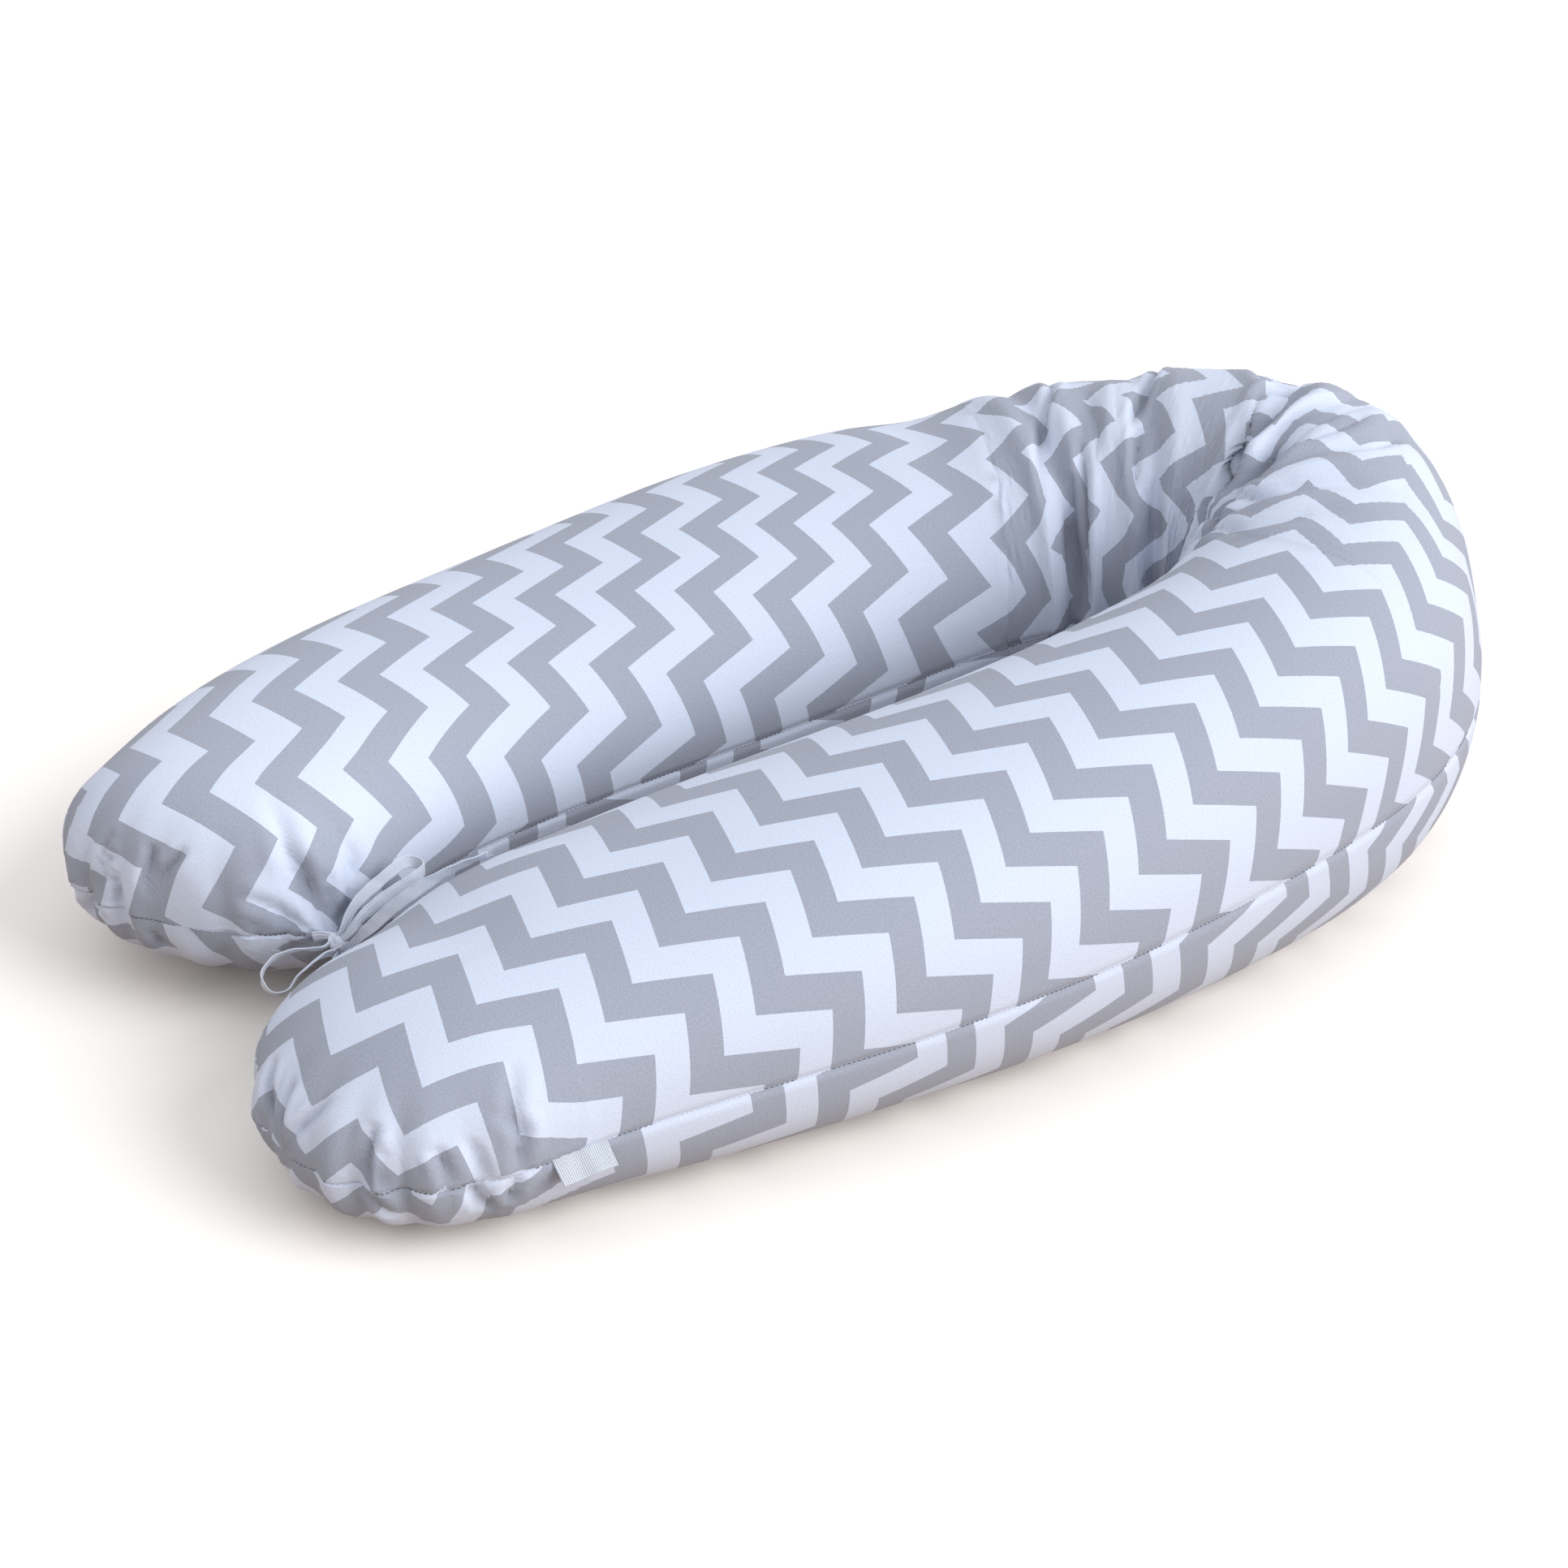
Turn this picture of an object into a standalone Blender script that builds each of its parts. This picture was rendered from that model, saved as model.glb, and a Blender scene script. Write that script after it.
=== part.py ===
"""A long body pillow, bent into a horseshoe and tied together at its two ends.

Metres, +Z up. The origin is on the surface that the pillow lies on, under the middle of its box.
+X runs from the tied ends towards the bend, the back arm lies at +Y and the front arm at -Y.
"Quarters" count round a section from the inner seam: 0 is that seam, 1 the crown, 2 the outer seam.
"""

from collections import namedtuple
import math

import bmesh
import bpy
import numpy as np
from mathutils import Matrix, Vector

# ---------------------------------------------------------------- driving dimensions

ROUNDNESS = 2.3  # exponent of a section's outline: 2 is an ellipse, higher is boxier
SEAM_LEVEL = 0.46  # height of the side seam, as a share of the section's height
SINK = 0.04  # share of the height that is pressed flat underneath
SEAM_DIP = 0.0015  # how far the seam is drawn in
SEAM_DIP_SPREAD = 0.12  # in quarters
BACK_END = 0.064  # length over which the back arm rounds off to its tip
FRONT_END = 0.097  # and the front arm
BACK_UNDER = 0.190  # the back arm's underside rises off the surface over this length
END_FLATTEN = 0.85  # under 1, so that an arm's height falls off later than its width

RIDGE = 0.35  # height of the ridges beside a furrow, as a share of its depth
STEEPEST = 1.2  # no furrow is deeper than this many times its half width where it lies
FOLD_RUN_OUT = 0.15  # a fold fades over this many quarters past each of its ends
FOLD_LOSS = 0.6  # share of its depth that a fold has lost by its high end
UNDER_SHARE = 0.6  # the folds of the lower panel are this deep beside those of the upper
UNDER_REACH = 0.5  # and end this many quarters below the seam, short of the flat underside
PUCKER_REACH = 0.035  # a gather fades over this distance from the seam
TIP_SEAM = 0.25  # the gathers lie on this much of the seam from each tip
TIP_FACE = 0.003  # furrows fade over this much of the middle line next to a tip
DRAWN_AT = 0.024  # the back tie pulls on the inner seam this far along the middle line
DRAWN_OUT = 0.006  # by this much
DRAWN_SPREAD = 0.016

TAPE_THICKNESS = 0.001
TAPE_STEP = 0.0025
KNOT_SIZE = (0.0058, 0.0045, 0.0056)  # half lengths
KNOT_GROOVES = 4
KNOT_GROOVE_DEPTH = 0.10  # as a share of its half lengths

LABEL_AT = 1.430  # middle of the label, along the pillow's middle line
LABEL_LENGTH = 0.034
LABEL_WIDTH = 0.014
LABEL_THICKNESS = 0.0012
LABEL_DROOP = 37  # degrees under the level
LABEL_WAVE = 0.0008
CLEARANCE = 0.0015  # between the label's root and the seam

# The mesh of the pillow: points round a section, and steps along each stretch of it.
AROUND = 36
TIP_STRETCH, TIP_STEPS = 0.12, 24
BEND_STRETCH, BEND_STEPS = (0.52, 1.02), 64
ARM_STEPS = 16

# The pillow's middle line, from the back arm's tip round the bend to the front arm's tip,
# with the half width and the height of its section there.
Station = namedtuple("Station", "x y half_width height")
STATIONS = (
    Station(-0.368, -0.024, 0.087, 0.128),
    Station(-0.278, 0.072, 0.104, 0.120),
    Station(-0.155, 0.128, 0.115, 0.122),
    Station(-0.032, 0.151, 0.118, 0.138),
    Station(0.092, 0.160, 0.111, 0.158),
    Station(0.217, 0.130, 0.096, 0.188),
    Station(0.307, 0.033, 0.083, 0.213),
    Station(0.268, -0.074, 0.091, 0.207),
    Station(0.146, -0.136, 0.098, 0.187),
    Station(0.022, -0.158, 0.105, 0.167),
    Station(-0.102, -0.165, 0.107, 0.147),
    Station(-0.237, -0.174, 0.097, 0.121),
    Station(-0.361, -0.206, 0.082, 0.093),
)

# The creases. Each runs straight from low quarters round the section, at low_at metres along the
# middle line, up to high quarters at high_at. width: half of the furrow's; depth: at its low end.
Fold = namedtuple("Fold", "low_at low high_at high width depth")
FOLDS = (
    Fold(0.648, 0.00, 0.613, 1.15, 0.010, 0.011),
    Fold(0.640, 0.30, 0.650, 1.10, 0.009, 0.003),
    Fold(0.718, 0.10, 0.670, 1.05, 0.011, 0.008),
    Fold(0.850, 0.20, 0.752, 1.05, 0.012, 0.017),
    Fold(0.850, 0.45, 0.786, 1.25, 0.010, 0.008),
    Fold(0.860, 0.50, 0.808, 1.35, 0.010, 0.006),
    Fold(0.884, 0.40, 0.866, 1.20, 0.010, 0.005),
    Fold(0.928, 0.55, 0.898, 1.00, 0.010, 0.003),
    Fold(0.024, 0.05, 0.012, 0.55, 0.008, 0.003),
    Fold(0.030, 0.05, 0.050, 0.60, 0.008, 0.003),
    Fold(1.474, 0.00, 1.430, 0.90, 0.028, 0.007),
)

# The gathers round each tip. place: metres from the tip along the seam, on the outer side, or on
# the inner side if negative. width: half of the furrow's.
Pucker = namedtuple("Pucker", "place width depth")
BACK_PUCKERS = (
    Pucker(0.094, 0.009, 0.0020),
    Pucker(0.063, 0.007, 0.0030),
    Pucker(0.039, 0.006, 0.0030),
    Pucker(0.012, 0.008, 0.0035),
    Pucker(-0.020, 0.007, 0.0030),
    Pucker(-0.055, 0.009, 0.0020),
)
FRONT_PUCKERS = (
    Pucker(0.104, 0.009, 0.0020),
    Pucker(0.070, 0.007, 0.0030),
    Pucker(0.046, 0.007, 0.0035),
    Pucker(0.016, 0.008, 0.0030),
    Pucker(-0.015, 0.007, 0.0030),
    Pucker(-0.050, 0.009, 0.0020),
)

# The bow. turn: degrees by which the tape's width leans from upright about its own run.
KNOT = (-0.2972, -0.0660, 0.0572)
Tape = namedtuple("Tape", "x y z turn width")
TAPES = {
    "tie_back_lead": (
        Tape(-0.2976, -0.0562, 0.0574, 60, 0.0050),
        Tape(-0.2974, -0.0588, 0.0573, 60, 0.0042),
        Tape(-0.2973, -0.0611, 0.0572, 60, 0.0036),
    ),
    "tie_back_loop": (
        Tape(-0.2947, -0.0650, 0.0636, -20, 0.0040),
        Tape(-0.2887, -0.0625, 0.0720, -20, 0.0060),
        Tape(-0.2798, -0.0595, 0.0792, -20, 0.0066),
        Tape(-0.2701, -0.0565, 0.0838, -20, 0.0068),
        Tape(-0.2606, -0.0535, 0.0876, -20, 0.0068),
        Tape(-0.2526, -0.0520, 0.0882, -10, 0.0068),
        Tape(-0.2474, -0.0570, 0.0866, 0, 0.0068),
        Tape(-0.2532, -0.0622, 0.0846, 10, 0.0068),
        Tape(-0.2630, -0.0645, 0.0818, 20, 0.0068),
        Tape(-0.2715, -0.0662, 0.0788, 20, 0.0066),
        Tape(-0.2798, -0.0675, 0.0746, 20, 0.0064),
        Tape(-0.2871, -0.0690, 0.0695, 20, 0.0056),
        Tape(-0.2922, -0.0695, 0.0640, 20, 0.0040),
    ),
    "tie_back_end": (
        Tape(-0.2905, -0.0700, 0.0578, -10, 0.0042),
        Tape(-0.2836, -0.0755, 0.0680, -20, 0.0066),
        Tape(-0.2745, -0.0815, 0.0800, -25, 0.0070),
        Tape(-0.2647, -0.0860, 0.0900, -25, 0.0070),
        Tape(-0.2545, -0.0890, 0.0977, -10, 0.0070),
        Tape(-0.2444, -0.0910, 0.1034, 20, 0.0070),
        Tape(-0.2340, -0.0922, 0.1073, 30, 0.0070),
        Tape(-0.2229, -0.0930, 0.1103, 30, 0.0070),
    ),
    "tie_front_lead": (
        Tape(-0.3000, -0.0700, 0.0525, 20, 0.0042),
        Tape(-0.3070, -0.0790, 0.0500, 20, 0.0066),
        Tape(-0.3160, -0.0905, 0.0490, 20, 0.0066),
        Tape(-0.3205, -0.0975, 0.0485, 20, 0.0060),
    ),
    "tie_front_loop": (
        Tape(-0.3040, -0.0670, 0.0580, -40, 0.0040),
        Tape(-0.3084, -0.0680, 0.0580, -40, 0.0052),
        Tape(-0.3155, -0.0680, 0.0594, -40, 0.0064),
        Tape(-0.3228, -0.0680, 0.0598, -40, 0.0068),
        Tape(-0.3305, -0.0690, 0.0589, -35, 0.0068),
        Tape(-0.3367, -0.0720, 0.0568, -20, 0.0068),
        Tape(-0.3401, -0.0760, 0.0534, 0, 0.0068),
        Tape(-0.3391, -0.0805, 0.0495, 20, 0.0068),
        Tape(-0.3350, -0.0840, 0.0473, 35, 0.0068),
        Tape(-0.3300, -0.0845, 0.0478, 40, 0.0068),
        Tape(-0.3244, -0.0820, 0.0520, 40, 0.0066),
        Tape(-0.3157, -0.0770, 0.0550, 40, 0.0058),
        Tape(-0.3045, -0.0710, 0.0560, 40, 0.0040),
    ),
    "tie_front_end": (
        Tape(-0.3018, -0.0622, 0.0608, 0, 0.0040),
        Tape(-0.3046, -0.0600, 0.0600, 0, 0.0056),
        Tape(-0.3085, -0.0582, 0.0590, 0, 0.0062),
    ),
}

COLLECTION = "body_pillow"


# ---------------------------------------------------------------- helpers


def cubic(knots, values, at):
    """Natural cubic spline through values at knots, read at the places in at."""
    knots, at = np.asarray(knots, float), np.asarray(at, float)
    values = np.asarray(values, float).reshape(len(knots), -1)
    gap = np.diff(knots)
    slope = np.diff(values, axis=0) / gap[:, None]
    matrix, right = np.eye(len(knots)), np.zeros_like(values)
    for i in range(1, len(knots) - 1):
        matrix[i, i - 1 : i + 2] = gap[i - 1], 2 * (gap[i - 1] + gap[i]), gap[i]
        right[i] = 6 * (slope[i] - slope[i - 1])
    curl = np.linalg.solve(matrix, right)
    k = np.clip(np.searchsorted(knots, at) - 1, 0, len(gap) - 1)
    step, t = gap[k][:, None], ((at - knots[k]) / gap[k])[:, None]
    straight = values[k] * (1 - t) + values[k + 1] * t
    lift = ((1 - t) ** 3 - (1 - t)) * curl[k] + (t**3 - t) * curl[k + 1]
    return straight + lift * step**2 / 6


def run_of(points):
    """Distance along a row of points, from its first."""
    return np.concatenate([[0], np.cumsum(np.linalg.norm(np.diff(points, axis=0), axis=1))])


def unit(vectors):
    return vectors / np.maximum(np.linalg.norm(vectors, axis=-1, keepdims=True), 1e-9)


def bell(distance, width):
    return np.exp(-((distance / width) ** 2))


def furrow(offset, width):
    """Cross profile of a crease: 1 at its bottom, with a low ridge along either side."""
    ridges = bell(offset - 2 * width, width) + bell(offset + 2 * width, width)
    return bell(offset, width) - RIDGE * ridges


def cloth(name, hex_colour, roughness):
    """A plain matt cloth in an sRGB colour."""
    material = bpy.data.materials.new(name)
    material.use_nodes = True
    shader = material.node_tree.nodes["Principled BSDF"]
    parts = [int(hex_colour[i : i + 2], 16) / 255 for i in (1, 3, 5)]
    linear = [c / 12.92 if c <= 0.04045 else ((c + 0.055) / 1.055) ** 2.4 for c in parts]
    shader.inputs["Base Color"].default_value = (*linear, 1)
    shader.inputs["Roughness"].default_value = roughness
    shader.inputs["Metallic"].default_value = 0
    return material


def loft(name, rings, material, tips=()):
    """A closed solid through rings of points. It ends in two tips, all smooth, or in flat caps."""
    bm = bmesh.new()
    rows = [[bm.verts.new(p) for p in ring] for ring in rings]
    count = len(rows[0])
    pairs = [(i, (i + 1) % count) for i in range(count)]
    for here, there in zip(rows, rows[1:]):
        for i, j in pairs:
            bm.faces.new((here[i], here[j], there[j], there[i]))
    if len(tips):
        first, last = (bm.verts.new(p) for p in tips)
        for i, j in pairs:
            bm.faces.new((first, rows[0][j], rows[0][i]))
            bm.faces.new((last, rows[-1][i], rows[-1][j]))
    else:
        bm.faces.new(rows[0][::-1])
        bm.faces.new(rows[-1])
    bmesh.ops.recalc_face_normals(bm, faces=bm.faces)
    mesh = bpy.data.meshes.new(name)
    bm.to_mesh(mesh)
    bm.free()
    mesh.materials.append(material)
    mesh.shade_smooth()
    if not len(tips):
        mesh.set_sharp_from_angle(angle=math.radians(50))
    obj = bpy.data.objects.new(name, mesh)
    bpy.data.collections[COLLECTION].objects.link(obj)
    return obj


# ---------------------------------------------------------------- the filled body


def places_along(length):
    """Places along the middle line: close together at the tips and round the bend."""
    quarter = np.linspace(0, math.pi / 2, TIP_STEPS + 1)[1:]
    tip = TIP_STRETCH * (1 - np.cos(quarter))
    first = np.linspace(TIP_STRETCH, BEND_STRETCH[0], ARM_STEPS + 1)[1:]
    bend = np.linspace(*BEND_STRETCH, BEND_STEPS + 1)[1:]
    last = np.linspace(BEND_STRETCH[1], length - TIP_STRETCH, ARM_STEPS + 1)[1:-1]
    return np.concatenate([tip, first, bend, last, length - tip[::-1]])


def end_share(distance, reach):
    """How full a section is at this distance from a tip: 0 at the tip, 1 past its reach."""
    left = np.clip(distance / reach, 0, 1)
    return (1 - (1 - left) ** ROUNDNESS) ** (1 / ROUNDNESS)


def smooth_body():
    """The body before it creases: its rings, its two tips, and where its rings are."""
    rows = np.array(STATIONS)
    knots = run_of(rows[:, :2])
    length = knots[-1]
    along = places_along(length)
    full = cubic(knots, rows, along)
    ahead = unit(np.gradient(full[:, :2], along, axis=0))
    aside = np.stack([-ahead[:, 1], ahead[:, 0]], axis=1)
    front_share = end_share(length - along, FRONT_END)
    share = end_share(along, BACK_END) * front_share
    under = end_share(along, BACK_UNDER) * front_share
    angle = np.linspace(0, 2 * math.pi, AROUND, endpoint=False)
    cosine, sine = np.cos(angle), np.sin(angle)
    across = np.sign(cosine) * np.abs(cosine) ** (2 / ROUNDNESS)
    upright = np.sign(sine) * np.abs(sine) ** (2 / ROUNDNESS)
    half = full[:, 2] * share
    upper = (1 - SEAM_LEVEL) * full[:, 3] * share**END_FLATTEN
    lower = (SEAM_LEVEL + SINK) * full[:, 3] * under**END_FLATTEN
    rings = np.empty((len(along), AROUND, 3))
    rings[:, :, :2] = full[:, None, :2] + aside[:, None] * (half[:, None] * across)[:, :, None]
    rings[:, :, 2] = np.where(upright > 0, upper[:, None], lower[:, None]) * upright
    rings[:, :, 2] += SEAM_LEVEL * full[:, 3:]
    tips = np.column_stack([rows[[0, -1], :2], SEAM_LEVEL * rows[[0, -1], 3]])
    return rings, tips, along, angle


def normals_of(rings):
    """Outward normals of a net of rings."""
    along = np.gradient(rings, axis=0)
    around = np.roll(rings, -1, axis=1) - np.roll(rings, 1, axis=1)
    return unit(np.cross(around, along))


def crease_depths(rings, along, angle):
    """Depth of the folds, and of the seam's dip, at each point of the net."""
    stretch = np.linalg.norm(np.gradient(rings, along, axis=0), axis=2)
    quarters = np.abs(angle - math.pi) / (math.pi / 2)
    is_under = angle > math.pi
    depth = SEAM_DIP * (bell(quarters, SEAM_DIP_SPREAD) + bell(2 - quarters, SEAM_DIP_SPREAD))
    depth = np.tile(depth, (len(along), 1))
    reach = np.clip(1 - quarters / UNDER_REACH, 0, 1)
    panel = np.where(is_under, UNDER_SHARE * reach, 1.0)
    for fold in FOLDS:
        t = (quarters - fold.low) / (fold.high - fold.low)
        line = fold.low_at + (fold.high_at - fold.low_at) * np.clip(t, 0, 1)
        past = np.maximum(fold.low - quarters, quarters - fold.high)
        fade = np.clip(1 - past / FOLD_RUN_OUT, 0, 1) * (1 - FOLD_LOSS * np.clip(t, 0, 1))
        deep = np.minimum(fold.depth * panel * fade, STEEPEST * fold.width * stretch)
        depth += deep * furrow(along[:, None] - line[None, :], fold.width)
    return depth


def pucker_depths(rings, seam, puckers):
    """Depth of the gathers that cross the seam, given as points from its outer side round the
    tip to its inner side, with the tip in the middle of them."""
    depth = np.zeros(rings.shape[:2])
    run = run_of(seam)
    run = run[len(seam) // 2] - run
    for pucker in puckers:
        k = int(np.argmin(np.abs(run - pucker.place)))
        tangent = unit(seam[k + 1] - seam[k - 1])
        offset = rings - seam[k]
        far = np.linalg.norm(offset, axis=2)
        depth += pucker.depth * bell(far, PUCKER_REACH) * furrow(offset @ tangent, pucker.width)
    return depth


def make_pillow(material):
    rings, tips, along, angle = smooth_body()
    tip_to_tip = run_of(np.array(STATIONS)[:, :2])[-1]
    outward = normals_of(rings)
    outer, inner = rings[:, 0], rings[:, AROUND // 2]
    near_back, near_front = along < TIP_SEAM, along > tip_to_tip - TIP_SEAM
    back_seam = np.concatenate([outer[near_back][::-1], tips[:1], inner[near_back]])
    front_seam = np.concatenate([outer[near_front], tips[1:], inner[near_front][::-1]])
    depth = crease_depths(rings, along, angle)
    depth += pucker_depths(rings, back_seam, BACK_PUCKERS)
    depth += pucker_depths(rings, front_seam, FRONT_PUCKERS)
    from_tip = np.minimum(along, tip_to_tip - along)
    depth *= np.minimum(1, from_tip / TIP_FACE)[:, None]
    drawn = inner[np.argmin(np.abs(along - DRAWN_AT))]
    pull = DRAWN_OUT * np.exp(-np.linalg.norm(rings - drawn, axis=2) / DRAWN_SPREAD)
    rings = rings - outward * depth[:, :, None]
    rings += pull[:, :, None] * unit(np.array(KNOT) - drawn)
    rings[:, :, 2] = np.maximum(rings[:, :, 2], 0)
    loft("pillow", rings, material, tips)
    return along, rings


# ---------------------------------------------------------------- the label and the tapes


def make_label(material, along, rings):
    """A folded woven tape that stands out of the outer seam and droops."""
    at = np.linspace(-0.5, 0.5, 13)
    places = LABEL_AT + at * LABEL_LENGTH
    root = cubic(along, rings[:, 0], places)
    middle = cubic(along, rings[:, AROUND // 2], places)
    outward = root - middle
    outward[:, 2] = 0
    droop = math.radians(LABEL_DROOP)
    out = unit(outward) * math.cos(droop) + np.array([0, 0, -math.sin(droop)])
    run = unit(np.gradient(root, axis=0))
    thick = unit(np.cross(out, run)) * LABEL_THICKNESS / 2
    near = root + out * CLEARANCE
    wave = (LABEL_WAVE * np.sin(at * 2 * math.pi))[:, None] * unit(thick)
    far = near + out * LABEL_WIDTH + wave
    section = np.stack([near - thick, far - thick, far + thick, near + thick], axis=1)
    return loft("label", section, material)


def make_tape(name, rows, material):
    """A flat tape along rows of points, with its own width and lean at each."""
    rows = np.array(rows)
    knots = run_of(rows[:, :3])
    steps = max(2, round(knots[-1] / TAPE_STEP))
    values = cubic(knots, rows, np.linspace(0, knots[-1], steps + 1))
    path, turn, width = values[:, :3], np.radians(values[:, 3]), values[:, 4]
    run = unit(np.gradient(path, axis=0))
    level = unit(np.cross(run, [0, 0, 1]))
    upright = np.cross(level, run)
    wide = upright * np.cos(turn)[:, None] + level * np.sin(turn)[:, None]
    side = wide * width[:, None] / 2
    flat = np.cross(run, wide) * TAPE_THICKNESS / 2
    corners = ((-1, -1), (1, -1), (1, 1), (-1, 1))
    section = np.stack([path + a * side + b * flat for a, b in corners], axis=1)
    return loft(name, section, material)


def make_knot(material):
    """A small lump of wound tape, with grooves between its turns."""
    down = np.linspace(0, math.pi, 13)[1:-1]
    round_it = np.linspace(0, 2 * math.pi, 24, endpoint=False)
    latitude, longitude = np.meshgrid(down, round_it, indexing="ij")
    wide = np.sin(latitude)
    groove = wide * np.cos(KNOT_GROOVES * longitude / 2 + latitude) ** 2
    ball = np.stack([np.cos(latitude), wide * np.cos(longitude), wide * np.sin(longitude)], axis=2)
    rings = np.array(KNOT) + ball * (1 - KNOT_GROOVE_DEPTH * groove)[:, :, None] * KNOT_SIZE
    tips = np.array(KNOT) + np.array([[1, 0, 0], [-1, 0, 0]]) * KNOT_SIZE
    return loft("tie_knot", rings, material, tips)


def centre_all():
    """Move everything so that the origin is under the middle of the pillow with its label."""
    corners = [Vector(c) for node in ("pillow", "label") for c in bpy.data.objects[node].bound_box]
    middle = [(min(c[i] for c in corners) + max(c[i] for c in corners)) / 2 for i in (0, 1)]
    for obj in bpy.data.collections[COLLECTION].objects:
        obj.data.transform(Matrix.Translation((-middle[0], -middle[1], 0)))


# ---------------------------------------------------------------- the whole object


for old in list(bpy.data.objects):
    bpy.data.objects.remove(old)
bpy.context.scene.collection.children.link(bpy.data.collections.new(COLLECTION))

printed_cotton = cloth("printed cotton", "#CBCFD8", 0.9)
cotton_tape = cloth("cotton tape", "#DDE0E8", 0.85)
woven_label = cloth("woven label tape", "#E4E4E2", 0.8)

along, rings = make_pillow(printed_cotton)
make_label(woven_label, along, rings)
for name, rows in TAPES.items():
    make_tape(name, rows, cotton_tape)
make_knot(cotton_tape)
centre_all()
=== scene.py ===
"""A body pillow in printed cotton, bent into a horseshoe, its two ends tied with cotton tapes.

Metres, +Z up, in the CAD frame: +X runs from the tied ends to the bend, the back arm is at +Y.
The cover is sewn from two panels, each cut as a shallow C, so its UV map is the flat cut in metres.
"""

import math

import bmesh
import bpy
import numpy as np
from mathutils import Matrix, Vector


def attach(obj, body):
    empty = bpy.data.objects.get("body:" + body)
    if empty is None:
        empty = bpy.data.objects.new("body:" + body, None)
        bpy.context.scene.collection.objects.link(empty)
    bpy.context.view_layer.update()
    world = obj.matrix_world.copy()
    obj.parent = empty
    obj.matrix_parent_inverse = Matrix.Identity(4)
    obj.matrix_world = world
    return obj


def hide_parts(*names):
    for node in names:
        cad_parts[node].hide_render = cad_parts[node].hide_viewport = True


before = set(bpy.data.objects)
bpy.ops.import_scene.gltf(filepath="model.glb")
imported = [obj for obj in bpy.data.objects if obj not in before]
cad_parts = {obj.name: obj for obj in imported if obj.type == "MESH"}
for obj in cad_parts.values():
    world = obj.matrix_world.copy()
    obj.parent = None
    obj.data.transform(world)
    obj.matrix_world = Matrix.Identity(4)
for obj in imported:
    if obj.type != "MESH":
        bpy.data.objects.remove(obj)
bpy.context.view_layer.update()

# ---------------------------------------------------------------- sizes of the body, as in the CAD

CENTRING = np.array([0.0105165, 0.0050540, 0.0])  # the CAD moves its own tables by this much
ROUNDNESS = 2.3  # exponent of a section's outline: 2 is an ellipse, higher is boxier
SEAM_LEVEL = 0.46  # height of the side seam, as a share of the section's height
SINK = 0.04  # share of the height that is pressed flat underneath
BACK_END, FRONT_END = 0.064, 0.097  # lengths over which the two arms round off to their tips
BACK_UNDER = 0.190  # the back arm's underside rises off the surface over this length
END_FLATTEN = 0.85  # under 1, so that an arm's height falls off later than its width
STATIONS = np.array(  # x, y, half width, height: from the back arm's tip to the front arm's
    (
        (-0.368, -0.024, 0.087, 0.128),
        (-0.278, 0.072, 0.104, 0.120),
        (-0.155, 0.128, 0.115, 0.122),
        (-0.032, 0.151, 0.118, 0.138),
        (0.092, 0.160, 0.111, 0.158),
        (0.217, 0.130, 0.096, 0.188),
        (0.307, 0.033, 0.083, 0.213),
        (0.268, -0.074, 0.091, 0.207),
        (0.146, -0.136, 0.098, 0.187),
        (0.022, -0.158, 0.105, 0.167),
        (-0.102, -0.165, 0.107, 0.147),
        (-0.237, -0.174, 0.097, 0.121),
        (-0.361, -0.206, 0.082, 0.093),
    )
)

# The net of the cover. Along the pillow: its stretches in metres, and the steps in each.
TIP, TIP_STEPS = 0.12, 60
BEND, BEND_STEPS = (0.585, 0.935), 216
ARM_STEPS = 56
# Up a quarter of the section, in mm: how long that is, the first steps from the seam, and how many
# even ones follow.
QUARTER = 140.0
BESIDE_SEAM = (0.7, 0.9, 1.2, 1.6, 2.1, 2.8)
UP_STEPS = 48

# Creases: low_at, low, high_at, high, half width, depth. "at" is metres along the middle line and
# low and high are quarters of the section from the inner seam: 0 is that seam, 1 the crown.
RIDGE = 0.35  # height of the ridges beside a crease, as a share of its depth
RUN_OUT = 0.15  # a crease fades over this many quarters past each of its ends
LOSS = 0.6  # share of its depth that a crease has lost by its high end
STEEPEST = 1.3  # no crease is deeper than this many times its half width where it lies
UNDER_SHARE = 0.6  # the creases of the lower panel are this deep beside those of the upper
UNDER_REACH = 0.5  # and end this many quarters below the seam
CREASES = (
    (0.648, 0.00, 0.606, 1.45, 0.0080, 0.0095),
    (0.640, 0.30, 0.655, 1.40, 0.0080, 0.0030),
    (0.718, 0.10, 0.662, 1.40, 0.0090, 0.0070),
    (0.850, 0.20, 0.745, 1.20, 0.0100, 0.0150),
    (0.850, 0.45, 0.786, 1.25, 0.0090, 0.0085),
    (0.860, 0.50, 0.808, 1.35, 0.0090, 0.0065),
    (0.884, 0.40, 0.866, 1.20, 0.0090, 0.0050),
    (0.928, 0.55, 0.898, 1.00, 0.0090, 0.0030),
    (0.024, 0.05, 0.012, 0.55, 0.0070, 0.0030),
    (0.030, 0.05, 0.050, 0.60, 0.0070, 0.0030),
    (1.474, 0.00, 1.430, 0.90, 0.0280, 0.0070),
)

# Where the filling stands a little fuller than the loft, or less: metres along the middle line,
# quarters, half length, half width in quarters, height.
FULLER = (
    (0.030, 1.80, 0.030, 0.40, 0.0030),
    (0.450, 1.35, 0.100, 0.50, 0.0040),
    (0.560, 1.30, 0.025, 0.50, -0.0045),
    (0.615, 1.20, 0.018, 0.40, 0.0030),
    (0.700, 1.30, 0.042, 0.40, 0.0050),
    (0.790, 1.33, 0.032, 0.45, 0.0070),
    (0.860, 1.60, 0.022, 0.40, -0.0040),
    (1.350, -1.60, 0.080, 0.40, 0.0030),
)

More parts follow.
